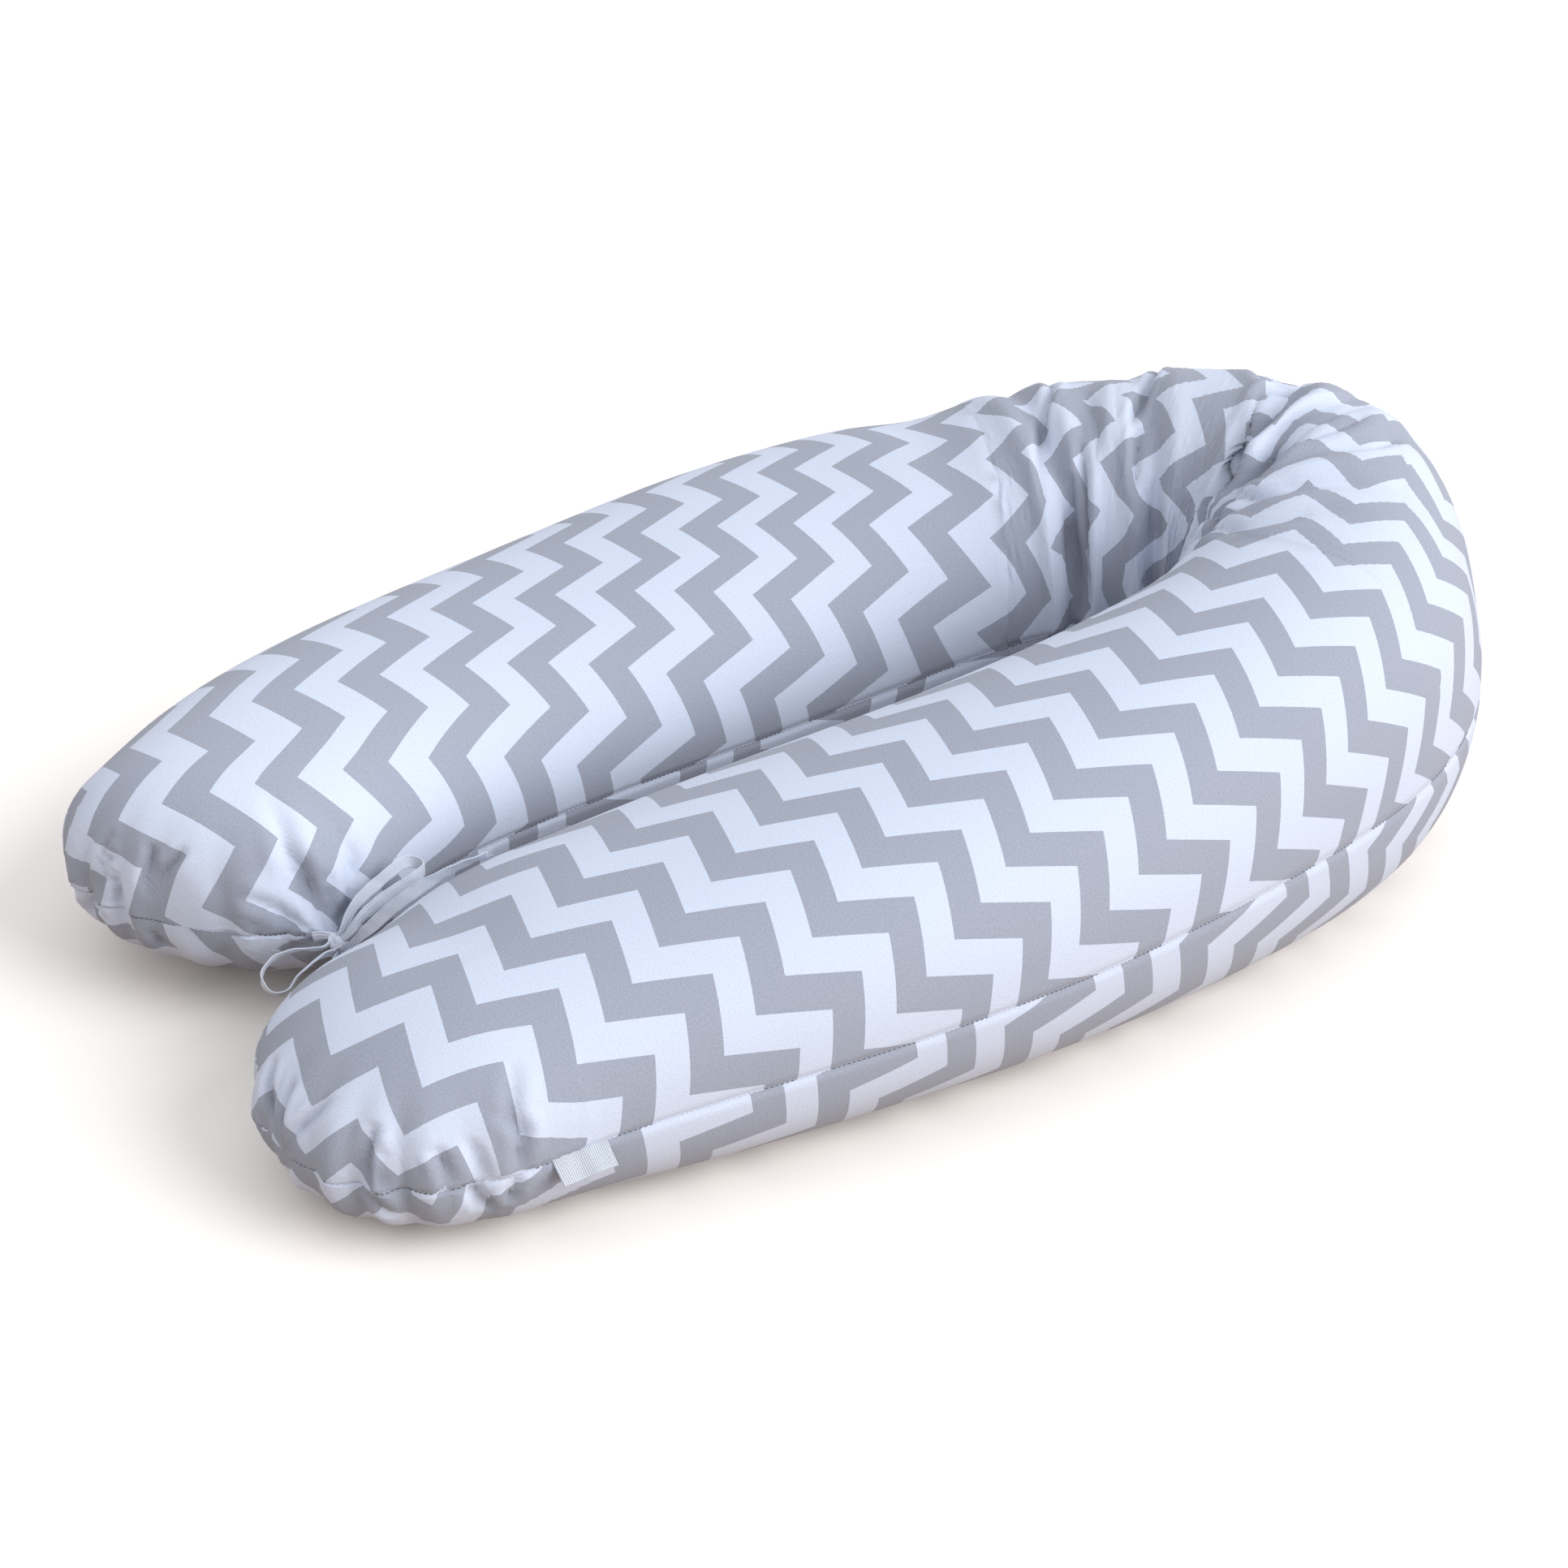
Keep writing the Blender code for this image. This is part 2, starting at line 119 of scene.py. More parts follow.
# Sharp wrinkles, which come after the cloth has settled: half width, depth, and the places that each
# runs through, as metres along the middle line and quarters, below 0 on the lower panel.
WRINKLE_LINE = 40  # points that a wrinkle is drawn with
WRINKLE_END, END_POWER = 0.25, 0.7  # share of its length over which it fades, and how
WRINKLE_REACH, WRINKLE_CAP = 5, 1.5  # half widths that it reaches to each side, and past its ends
V_SHARPNESS = 1.1  # how fast its sides rise from the bottom
LIP, LIP_AT = 0.28, 2.3  # height of the lip beside it as a share of its depth, and half widths to it
SHADED = (0.0035, 0.0070)  # depths from which a wrinkle's bottom gets painted shade, and at which it is darkest
SHADE_WIDTH = 0.9  # half width of that, in half widths of the wrinkle
PAINTED_SHADE_SHARE = 0.5  # how much of the painted shade's dark colour shows there
WRINKLES = (
    # where the back arm turns into the bend
    (
        0.0026,
        0.0050,
        ((0.622, 1.50), (0.631, 1.22), (0.626, 1.03), (0.622, 0.95), (0.620, 0.78), (0.621, 0.46)),
    ),
    (0.0025, 0.0022, ((0.646, 1.10), (0.652, 0.94), (0.656, 0.80), (0.656, 0.62))),
    (0.0026, 0.0055, ((0.684, 1.40), (0.680, 1.14), (0.678, 0.95), (0.677, 0.78))),
    (0.0028, 0.0050, ((0.681, 0.80), (0.685, 0.64), (0.689, 0.46))),
    (0.0028, 0.0065, ((0.640, 0.64), (0.641, 0.41), (0.644, 0.29), (0.647, 0.19), (0.652, 0.03))),
    (0.0028, 0.0075, ((0.646, 0.78), (0.649, 0.53), (0.651, 0.36), (0.654, 0.21), (0.659, 0.02))),
    (0.0040, 0.0025, ((0.692, 0.52), (0.705, 0.37), (0.714, 0.24))),
    (0.0030, 0.0015, ((0.663, 1.16), (0.666, 0.95), (0.671, 0.74))),
    # over the top of the bend
    (0.0042, 0.0065, ((0.758, 0.92), (0.771, 0.74), (0.782, 0.66), (0.798, 0.58), (0.838, 0.48))),
    (0.0042, 0.0060, ((0.768, 0.88), (0.786, 0.70), (0.815, 0.62), (0.840, 0.52))),
    (0.0046, 0.0060, ((0.788, 1.12), (0.803, 0.92), (0.816, 0.81), (0.829, 0.72), (0.842, 0.56))),
    (0.0038, 0.0040, ((0.801, 1.18), (0.817, 1.01), (0.822, 0.86))),
    (0.0035, 0.0045, ((0.751, 1.30), (0.750, 1.12), (0.751, 0.99), (0.766, 0.82))),
    (0.0030, 0.0022, ((0.727, 1.30), (0.742, 1.06))),
    (0.0025, 0.0022, ((0.773, 1.36), (0.787, 1.14), (0.794, 1.00))),
    (0.0030, 0.0028, ((0.811, 1.30), (0.830, 1.13), (0.834, 1.00))),
    # lengthwise on the shoulder of the front arm
    (0.0035, 0.0045, ((0.912, 0.50), (0.872, 0.50), (0.862, 0.58), (0.872, 0.67), (0.879, 0.82))),
    (0.0040, 0.0035, ((0.876, 0.40), (0.914, 0.64), (0.920, 0.78), (0.900, 0.96))),
    (0.0050, 0.0018, ((0.868, 0.72), (0.870, 0.87), (0.866, 0.98), (0.865, 1.18))),
    # to the point that the back tie pulls on
    (0.0032, 0.0030, ((0.004, 0.46), (0.010, 0.14), (0.019, 0.00))),
    (0.0036, 0.0042, ((0.023, 0.60), (0.020, 0.34), (0.019, 0.15), (0.022, 0.00))),
    (0.0040, 0.0035, ((0.042, 0.80), (0.022, 0.53), (0.016, 0.23), (0.021, 0.01))),
    (0.0032, 0.0030, ((0.028, 0.34), (0.024, 0.15), (0.024, 0.00))),
    (0.0036, 0.0030, ((0.046, 0.40), (0.033, 0.16), (0.027, 0.00))),
    (0.0032, 0.0025, ((0.018, 0.00), (0.014, -0.08), (0.011, -0.30))),
    # from the seam at the back arm's tip
    (0.0026, 0.0045, ((0.015, 1.42), (0.010, 1.72), (0.010, 1.96))),
    (0.0024, 0.0048, ((0.010, 1.48), (0.008, 1.74), (0.007, 1.98))),
    (0.0024, 0.0042, ((0.007, 1.62), (0.005, 1.85), (0.005, 1.98))),
    (0.0024, 0.0039, ((0.010, -2.00), (0.010, -1.90), (0.009, -1.80))),
    (0.0026, 0.0039, ((0.009, 1.18), (0.004, 1.30), (0.001, 1.62))),
    (0.0026, 0.0039, ((0.009, 0.98), (0.004, 1.11), (0.001, 1.45))),
    (0.0024, 0.0039, ((0.001, -1.75), (0.002, -1.42), (0.004, -1.22))),
    (0.0030, 0.0045, ((0.012, -1.98), (0.016, -1.85), (0.022, -1.70))),
    # from the seam at the front arm's tip
    (0.0030, 0.0048, ((1.517, 1.46), (1.522, 1.58), (1.526, 1.74), (1.527, 1.98))),
    (0.0028, 0.0039, ((1.519, 1.60), (1.521, 1.76), (1.522, 1.90), (1.522, 2.00))),
    (0.0030, 0.0042, ((1.527, -1.99), (1.524, -1.88), (1.519, -1.72))),
    (0.0028, 0.0036, ((1.500, 1.72), (1.499, 1.86), (1.498, 1.99))),
    (0.0028, 0.0036, ((1.486, 1.74), (1.484, 1.90), (1.482, 2.00))),
    (0.0032, 0.0045, ((1.451, 1.48), (1.462, 1.69), (1.461, 1.79), (1.464, 1.90), (1.465, 2.00))),
    (0.0030, 0.0021, ((1.472, 1.64), (1.459, 1.86))),
    (0.0030, 0.0045, ((1.489, -2.00), (1.486, -1.92), (1.478, -1.76))),
    (0.0030, 0.0039, ((1.467, -2.00), (1.469, -1.93), (1.471, -1.82))),
    (0.0026, 0.0045, ((1.525, 0.66), (1.533, 0.60), (1.540, 0.52), (1.552, 0.50))),
    (0.0026, 0.0045, ((1.528, 0.92), (1.538, 0.88), (1.552, 0.84))),
    (0.0026, 0.0042, ((1.524, 1.18), (1.540, 1.20), (1.552, 1.30))),
    (0.0030, 0.0042, ((1.552, -0.80), (1.541, -0.88), (1.528, -1.00))),
)

# Gathers across the seam: metres from the tip along it, outer side positive, half width, depth.
PUCKER_REACH = 0.035  # a gather fades over this distance from the seam
TIP_SEAM = 0.25  # the gathers lie on this much of the seam from each tip
TIP_FACE = 0.003  # all relief fades over this much of the middle line next to a tip
BACK_PUCKERS = (
    (0.094, 0.009, 0.0020),
    (0.063, 0.007, 0.0030),
    (0.039, 0.006, 0.0030),
    (0.012, 0.008, 0.0035),
    (-0.020, 0.007, 0.0030),
    (-0.055, 0.009, 0.0020),
)
FRONT_PUCKERS = (
    (0.104, 0.009, 0.0020),
    (0.070, 0.007, 0.0030),
    (0.046, 0.007, 0.0035),
    (0.016, 0.008, 0.0030),
    (-0.015, 0.007, 0.0030),
    (-0.050, 0.009, 0.0020),
)
# The back tie pulls on the inner seam: where along the middle line, how far, and over what distance.
DRAWN_AT, DRAWN_OUT, DRAWN_SPREAD = 0.024, 0.006, 0.016
# The corner there then goes right up to the knot: how far from its middle it ends, and the spread.
TIED_SHORT, TIED_SPREAD = 0.0045, 0.013
SEAM_VALLEY, SEAM_VALLEY_WIDTH = 0.0012, 1.6  # depth in metres, half width in mm of the section

# The flat cut of both panels: metres over the crown from the back tip, then the place on the flat
# cloth and the heading there, in degrees. The print keeps one direction on the flat cloth.
CUT = np.array(
    (
        (0.000, -1.271, -0.291, 67),
        (0.075, -1.220, -0.235, 63),
        (0.150, -1.192, -0.194, 56),
        (0.225, -1.140, -0.163, 46),
        (0.330, -1.054, -0.117, 39),
        (0.450, -0.944, -0.053, 34),
        (0.560, -0.834, 0.003, 24),
        (0.630, -0.758, 0.035, 7),
        (0.700, -0.675, 0.052, -5),
        (0.800, -0.548, 0.093, 9),
        (0.900, -0.445, 0.128, 3),
        (0.975, -0.340, 0.127, -4),
        (1.050, -0.253, 0.103, -21),
        (1.200, -0.100, 0.042, -33),
        (1.350, 0.047, -0.033, -39),
        (1.500, 0.189, -0.106, -31),
        (1.650, 0.334, -0.158, -14),
    )
)
# The bend gathers the upper panel, and its folds hide spare cloth: each one's share, against 1 for
# the plain cloth between them, and the places that it runs through, as in WRINKLES.
TUCKED = (0.590, 0.880)  # metres along the middle line
TUCK_STEP = 0.0018  # how sharply a fold takes its cloth in, in metres
TUCK_FADE = 0.18  # quarters past its ends over which it fades
TUCKS = (
    (0.30, ((0.621, 0.46), (0.620, 0.63), (0.620, 0.78), (0.622, 0.95), (0.626, 1.03), (0.631, 1.22))),
    (0.10, ((0.656, 0.02), (0.651, 0.20), (0.647, 0.36), (0.645, 0.55), (0.646, 0.78))),
    (0.10, ((0.689, 0.46), (0.685, 0.64), (0.679, 0.80), (0.678, 0.95), (0.680, 1.14))),
    (0.60, ((0.845, 0.00), (0.838, 0.48), (0.798, 0.58), (0.782, 0.66), (0.771, 0.74), (0.758, 0.92))),
    (1.00, ((0.848, 0.30), (0.842, 0.56), (0.829, 0.72), (0.816, 0.81), (0.803, 0.92), (0.788, 1.12))),
    (0.05, ((0.766, 0.82), (0.751, 0.99), (0.750, 1.12), (0.751, 1.30))),
)

# At each tip the cut spreads like a fan, and eases into the rest of the cut.
FAN, FAN_EASING = (0.15, 0.12), 0.55  # metres of the middle line at the back and the front tip
FAN_RING = 3  # the ring from the tip that gives the fan its angles
# The print: right-angled zigzags across the cloth. All in metres.
ZIGZAG = 0.0565  # from one point to the next
REPEAT = 0.0502  # one grey and one white band
EDGE_WANDER, EDGE_GRAIN = 0.0004, 900.0  # how far the ink's edge strays, and its grain per metre
# The lower panel was cut from another place of the cloth, so its print lies further on: metres along
# the middle line, then how far in x and in y.
UNDER_PRINT = (
    (0.00, 0.016, 0.015),
    (0.10, 0.002, 0.013),
    (0.30, 0.003, 0.016),
    (1.25, 0.003, 0.016),
    (1.42, -0.002, 0.007),
    (1.55, 0.002, 0.012),
)

# How much longer the cloth is than the filled body, as shares, along and round: everywhere, at most
# in the bend on its inner side, and at most in the seam at the tips.
PLAIN_SPARE, BEND_SPARE, TIP_SPARE = 0.006, (0.12, 0.01), (0.10, 0.02)
SPARE_AT, SPARE_SPREAD, SPARE_UP = 0.77, 0.20, 1.35  # the bend's: metres, metres, quarters
TIP_SPREAD, SEAM_SPREAD = (0.07, 0.08), 0.35  # the tips': metres at the back and front, quarters

# Settling: rounds, and the unevenness that the cover starts with, which is smoothed a few times.
ROUNDS, UNEVEN, SEED, SMOOTHED = 160, 0.0007, 11, 3
SHEAR, BENDING = 0.35, 0.12  # how firmly the cloth resists them, against 1 for being stretched
FILLING_PUSH, FILLING_DRAG = 0.035, 0.006  # how the filling pulls the cover back, outward and along
MOST_MOVED = 0.008  # no point of the cover ends up further off than this

# The bow, in the CAD's own tables: x, y, z, the lean of the tape's width from upright in degrees,
# and its width. Each tape comes from its seam through the knot, loops back into it and ends.
KNOT = np.array((-0.2972, -0.0660, 0.0572))
BACK_TAPE = (
    (-0.3000, -0.0500, 0.0572, 60, 0.0056),
    (-0.2985, -0.0535, 0.0574, 60, 0.0052),
    (-0.2974, -0.0588, 0.0573, 60, 0.0042),
    (-0.2970, -0.0640, 0.0590, 30, 0.0036),
    (-0.2935, -0.0648, 0.0650, -20, 0.0042),
    (-0.2887, -0.0625, 0.0720, -20, 0.0060),
    (-0.2798, -0.0595, 0.0792, -20, 0.0066),
    (-0.2701, -0.0565, 0.0838, -20, 0.0068),
    (-0.2606, -0.0535, 0.0876, -20, 0.0068),
    (-0.2526, -0.0520, 0.0882, -10, 0.0068),
    (-0.2474, -0.0570, 0.0866, 0, 0.0068),
    (-0.2532, -0.0622, 0.0846, 10, 0.0068),
    (-0.2630, -0.0645, 0.0818, 20, 0.0068),
    (-0.2715, -0.0662, 0.0788, 20, 0.0066),
    (-0.2798, -0.0675, 0.0746, 20, 0.0064),
    (-0.2871, -0.0690, 0.0695, 20, 0.0056),
    (-0.2922, -0.0695, 0.0640, 20, 0.0040),
    (-0.2965, -0.0680, 0.0580, 10, 0.0036),
    (-0.2955, -0.0690, 0.0545, 0, 0.0036),
    (-0.2905, -0.0700, 0.0578, -10, 0.0042),
    (-0.2836, -0.0755, 0.0680, -20, 0.0066),
    (-0.2745, -0.0815, 0.0800, -25, 0.0070),
    (-0.2647, -0.0860, 0.0900, -25, 0.0070),
    (-0.2545, -0.0890, 0.0977, -10, 0.0070),
    (-0.2444, -0.0910, 0.1034, 20, 0.0070),
    (-0.2340, -0.0922, 0.1073, 30, 0.0070),
    (-0.2229, -0.0930, 0.1103, 30, 0.0070),
)
FRONT_TAPE = (
    (-0.3225, -0.1040, 0.0480, 20, 0.0062),
    (-0.3160, -0.0905, 0.0490, 20, 0.0066),
    (-0.3070, -0.0790, 0.0500, 20, 0.0062),
    (-0.3000, -0.0700, 0.0525, 20, 0.0042),
    (-0.2960, -0.0650, 0.0560, 0, 0.0036),
    (-0.2990, -0.0650, 0.0590, -30, 0.0036),
    (-0.3040, -0.0670, 0.0580, -40, 0.0040),
    (-0.3084, -0.0680, 0.0580, -40, 0.0052),
    (-0.3155, -0.0680, 0.0594, -40, 0.0064),
    (-0.3228, -0.0680, 0.0598, -40, 0.0068),
    (-0.3305, -0.0690, 0.0589, -35, 0.0068),
    (-0.3367, -0.0720, 0.0568, -20, 0.0068),
    (-0.3401, -0.0760, 0.0534, 0, 0.0068),
    (-0.3391, -0.0805, 0.0495, 20, 0.0068),
    (-0.3350, -0.0840, 0.0473, 35, 0.0068),
    (-0.3300, -0.0845, 0.0478, 40, 0.0068),
    (-0.3244, -0.0820, 0.0520, 40, 0.0066),
    (-0.3157, -0.0770, 0.0550, 40, 0.0058),
    (-0.3045, -0.0710, 0.0560, 40, 0.0040),
    (-0.2975, -0.0670, 0.0560, 20, 0.0036),
    (-0.2975, -0.0640, 0.0590, 0, 0.0036),
    (-0.3018, -0.0622, 0.0608, 0, 0.0040),
    (-0.3046, -0.0600, 0.0600, 0, 0.0056),
    (-0.3085, -0.0582, 0.0590, 0, 0.0062),
)
TAPE_WIDTH, TAPE_THICKNESS, TAPE_STEP = 0.0070, 0.0010, 0.0006
TAPE_POINTS, TAPE_EDGE = 17, 8  # points across each face, and how square its edges are
TAPE_HEM = 0.70  # the row of stitches along the tape's open edge, as a share of its half width
HEM_DEPTH, HEM_WIDTH = 0.45, 0.08  # shares of the thickness and of the half width
GATHERS, GATHER_DEPTH, GATHER_SHIFT = 3, 0.0010, 4  # pleats where it is drawn together at the knot
TAPE_CUP, CUP_LEVEL = 0.0004, 0.4  # how far its edges curl up, from what level
TAPE_SWAY = ((0.0003, 0.0041, 0), (0.0002, 0.0017, 1))  # its twists: height, metres a radian, start

# Threads that have come loose at the cut end: place across it, length, radius of the curl, turns.
FRAY_THICKNESS, FRAY_STEPS, FRAY_SIDES = 0.0003, 25, 6
FRAY_ROOT = 0.0005  # how far inside the end they start
FRAY_SPREAD = 0.42  # the outermost place, as a share of the tape's width
FRAY_AHEAD = 0.5  # the share of its length that a thread goes straight ahead
FRAYS = (
    (0.90, 0.0065, 0.0017, 0.95),
    (0.45, 0.0030, 0.0030, 0.25),
    (-0.10, 0.0022, 0.0020, 0.40),
    (-0.85, 0.0040, 0.0022, 0.50),
)

# The turns of tape round the knot: centre from the knot's own, axis, radius, width, drift.
TURN_STEPS, TURN_THICKNESS = 64, 0.0015
TURN_CROWN = 0.0012  # how far its edges are tucked in
TURN_PLEAT, PLEATS_ACROSS, PLEATS_ROUND = 0.0003, 5, 2  # depth, and radians to each half width and turn
DRIFT_START = 0.6  # radians round the knot
TURNS = (
    ((0.0004, 0.0, 0.0002), (0.85, 0.05, 0.53), 0.0041, 0.0050, 0.0006),
    ((0.0006, -0.0006, -0.0016), (-0.30, 0.61, 0.74), 0.0044, 0.0034, 0.0008),
    ((-0.0008, 0.0008, 0.0010), (0.50, -0.60, 0.62), 0.0040, 0.0036, -0.0006),
)

# The label, as in the CAD: its middle along the pillow, and how far it droops under the level.
LABEL_AT, LABEL_DROOP = 1.430, 37
LABEL_LENGTH, LABEL_WIDTH, LABEL_THICKNESS = 0.034, 0.014, 0.0012
LABEL_WAVE, LABEL_TUCK = 0.0008, 0.0010  # how far it waves, and how deep it sits in the seam
LABEL_RIPPLE, RIPPLE_RATE = 0.25, 15  # a quicker wave on that one: its share, radians over the length
LABEL_FOLD, LABEL_PINCH = 0.42, 0.5  # the fold's radius in thicknesses, and how near the layers come
LABEL_STEPS, LAYER_STEPS, FOLD_STEPS = 69, 25, 9  # points along it, out over a layer, round the fold

# The seam: its stitches are about 2.65 mm apart and show for most of that.
STITCH_PITCH, STITCH_LENGTH, THREAD = 0.00265, 0.0019, 0.0005
STITCH_PROUD = 0.3  # share of its thickness that the thread's middle stands off the seam
STITCH_SIZES, STITCH_SEED = (0.85, 1.10), 5  # how much each stitch differs in size


# ---------------------------------------------------------------- helpers


def linear(hex_colour):
    """An sRGB hex colour as linear RGBA."""
    parts = [int(hex_colour[i : i + 2], 16) / 255 for i in (1, 3, 5)]
    return (*(c / 12.92 if c <= 0.04045 else ((c + 0.055) / 1.055) ** 2.4 for c in parts), 1)


def connect(tree, node, links):
    """Give each of a node's inputs a value, a socket, or another node's first output."""
    for name, value in links.items():
        if isinstance(value, bpy.types.Node):
            value = value.outputs[0]
        if isinstance(value, bpy.types.NodeSocket):
            tree.links.new(value, node.inputs[name])
        else:
            node.inputs[name].default_value = value


def add(tree, kind, settings=None, links=None):
    """A new node with its settings and links."""
    node = tree.nodes.new(kind)
    for name, value in (settings or {}).items():
        setattr(node, name, value)
    connect(tree, node, links or {})
    return node


def cubic(knots, values, at):
    """Natural cubic spline through values at knots, read at the places in at."""
    knots, at = np.asarray(knots, float), np.asarray(at, float)
    values = np.asarray(values, float).reshape(len(knots), -1)
    gap = np.diff(knots)
    slope = np.diff(values, axis=0) / gap[:, None]
    matrix, right = np.eye(len(knots)), np.zeros_like(values)
    for i in range(1, len(knots) - 1):
        matrix[i, i - 1 : i + 2] = gap[i - 1], 2 * (gap[i - 1] + gap[i]), gap[i]
        right[i] = 6 * (slope[i] - slope[i - 1])
    curl = np.linalg.solve(matrix, right)
    k = np.clip(np.searchsorted(knots, at) - 1, 0, len(gap) - 1)
    step, t = gap[k][:, None], ((at - knots[k]) / gap[k])[:, None]
    straight = values[k] * (1 - t) + values[k + 1] * t
    bent = straight + ((1 - t) ** 3 - (1 - t)) * curl[k] * step**2 / 6
    return bent + (t**3 - t) * curl[k + 1] * step**2 / 6


def run_of(points):
    """How far along a line each of its points lies."""
    return np.concatenate([[0], np.cumsum(np.linalg.norm(np.diff(points, axis=0), axis=1))])


def unit(vectors):
    return vectors / np.maximum(np.linalg.norm(vectors, axis=-1, keepdims=True), 1e-9)


def bell(distance, width):
    return np.exp(-((distance / width) ** 2))


def furrow(offset, width):
    """Cross profile of a crease: 1 at its bottom, with a low ridge along either side."""
    return bell(offset, width) - RIDGE * (
        bell(offset - 2 * width, width) + bell(offset + 2 * width, width)
    )


def new_object(name, data, material=None):
    if material:
        data.materials.append(material)
    obj = bpy.data.objects.new(name, data)
    bpy.context.scene.collection.objects.link(obj)
    return obj


def aim(obj, place, target):
    """Put a camera or a lamp at a place and point it at another."""
    obj.location = place
    obj.rotation_mode = "QUATERNION"
    obj.rotation_quaternion = (Vector(target) - obj.location).to_track_quat("-Z", "Y")


def outside_out(mesh):
    """Make a closed mesh's faces all point outwards."""
    bm = bmesh.new()
    bm.from_mesh(mesh)
    bmesh.ops.recalc_face_normals(bm, faces=bm.faces)
    bm.to_mesh(mesh)
    bm.free()


# ---------------------------------------------------------------- camera

camera_data = bpy.data.cameras.new("camera")
camera_data.lens = 71.4
camera_data.sensor_width = 36
camera = new_object("camera", camera_data)
aim(camera, (-0.5632, -1.3664, 0.9670), (-0.0290, -0.0329, 0.078))
bpy.context.scene.camera = camera


# ---------------------------------------------------------------- materials


# Settings that several nodes share.
FLAT, COLOURS, VECTORS = {"noise_dimensions": "2D"}, {"data_type": "RGBA"}, {"data_type": "FLOAT_VECTOR"}
SCALED = {"operation": "MULTIPLY_ADD"}


def start_material(name):
    """A new material, with its node tree and its shader."""
    material = bpy.data.materials.new(name)
    material.use_nodes = True
    return material, material.node_tree, material.node_tree.nodes["Principled BSDF"]


def print_bands(tree, cut):
    """1 where the cloth is printed grey: bands bounded by right-angled zigzags."""
    axes = add(tree, "ShaderNodeSeparateXYZ", links={0: cut})
    edge = add(tree, "ShaderNodeTexNoise", FLAT, {"Vector": cut, "Scale": EDGE_GRAIN, "Detail": 1.0})
    edge = add(tree, "ShaderNodeMath", SCALED, {0: edge, 1: EDGE_WANDER, 2: -EDGE_WANDER / 2})
    zig = add(tree, "ShaderNodeMath", {"operation": "PINGPONG"}, {0: axes.outputs[1], 1: ZIGZAG / 2})
    stack = axes.outputs[0]
    for operation, value in (
        ("SUBTRACT", zig),
        ("ADD", edge),
        ("DIVIDE", REPEAT),
        ("FLOORED_MODULO", 1.0),
        ("LESS_THAN", 0.5),
    ):
        stack = add(tree, "ShaderNodeMath", {"operation": operation}, {0: stack, 1: value})
    return stack


def weave_of(tree, cut, pitch):
    """Height of a plain weave of that thread pitch, from 0 to 1."""
    axes = add(tree, "ShaderNodeSeparateXYZ", links={0: cut})
    turn = math.pi / pitch
    waves = []
    for axis in (0, 1):
        angle = add(tree, "ShaderNodeMath", {"operation": "MULTIPLY"}, {0: axes.outputs[axis], 1: turn})
        waves.append(add(tree, "ShaderNodeMath", {"operation": "SINE"}, {0: angle}))
    both = add(tree, "ShaderNodeMath", {"operation": "MULTIPLY"}, {0: waves[0], 1: waves[1]})
    return add(tree, "ShaderNodeMath", SCALED, {0: both, 1: 0.5, 2: 0.5})


def printed_cotton():
    """Woven cotton, reactive-printed: matt with a faint nap, the ink a little mottled by threads."""
    material, tree, shader = start_material("printed plain-weave cotton")
    cut = add(tree, "ShaderNodeUVMap", {"uv_map": "cut"})
    bands = print_bands(tree, cut)
    # Slubs: threads vary in thickness over about 1 to 3 mm, so the ink takes unevenly.
    grain = {"Scale": 800.0, "Detail": 3.0, "Roughness": 0.8}
    slub = add(tree, "ShaderNodeTexNoise", FLAT, {"Vector": cut, **grain})
    grey = add(tree, "ShaderNodeValToRGB", links={0: slub})
    white = add(tree, "ShaderNodeValToRGB", links={0: slub})
    for ramp, inks in ((grey, ("#9298A7", "#A0A6B5")), (white, ("#C2CBDE", "#CDD6E8"))):
        for stop, place, ink in zip(ramp.color_ramp.elements, (0.3, 0.7), inks):
            stop.position = place
            stop.color = linear(ink)
    colour = add(tree, "ShaderNodeMix", COLOURS, {0: bands, 6: white, 7: grey})
    # The folds close on themselves more tightly than the net can, so the shade in their bottoms is
    # painted into the colour: it is mixed towards a dark grey.
    fold = add(tree, "ShaderNodeAttribute", {"attribute_name": "fold"})
    fold = add(tree, "ShaderNodeMath", {"operation": "MULTIPLY"}, {0: fold.outputs["Fac"], 1: PAINTED_SHADE_SHARE})
    colour = {0: fold, 6: colour.outputs[2], 7: linear("#4A4D57")}
    colour = add(tree, "ShaderNodeMix", COLOURS, colour)
    # The real threads are about 0.4 mm apart. They are drawn at 0.8 mm so that they show.
    threads = weave_of(tree, cut, 0.0008)
    height = add(tree, "ShaderNodeMath", SCALED, {0: threads, 1: 0.4, 2: slub})
    bump = add(tree, "ShaderNodeBump", links={"Strength": 0.5, "Distance": 0.0003, "Height": height})
    finish = {"Roughness": 0.88, "Specular IOR Level": 0.3, "Sheen Weight": 0.12, "Sheen Roughness": 0.5}
    connect(tree, shader, {"Base Color": colour.outputs[2], "Normal": bump, **finish})
    return material


def cotton_tape():
    """Folded and edge-stitched cotton, the same white cloth unprinted: matt, with its threads."""
    material, tree, shader = start_material("plain cotton tape")
    cut = add(tree, "ShaderNodeUVMap", {"uv_map": "cut"})
    slub = add(tree, "ShaderNodeTexNoise", FLAT, {"Vector": cut, "Scale": 1300.0, "Detail": 3.0})
    colour = add(tree, "ShaderNodeValToRGB", links={0: slub})
    for stop, place, tone in zip(colour.color_ramp.elements, (0.3, 0.7), ("#C3CAD8", "#CED5E2")):
        stop.position = place
        stop.color = linear(tone)
    # The real threads are about 0.4 mm apart. They are drawn at 0.7 mm so that they show.
    threads = weave_of(tree, cut, 0.0007)
    height = add(tree, "ShaderNodeMath", SCALED, {0: threads, 1: 0.6, 2: slub})
    bump = add(tree, "ShaderNodeBump", links={"Strength": 0.4, "Distance": 0.0002, "Height": height})
    finish = {"Roughness": 0.85, "Sheen Weight": 0.15}
    connect(tree, shader, {"Base Color": colour, "Normal": bump, **finish})
    return material


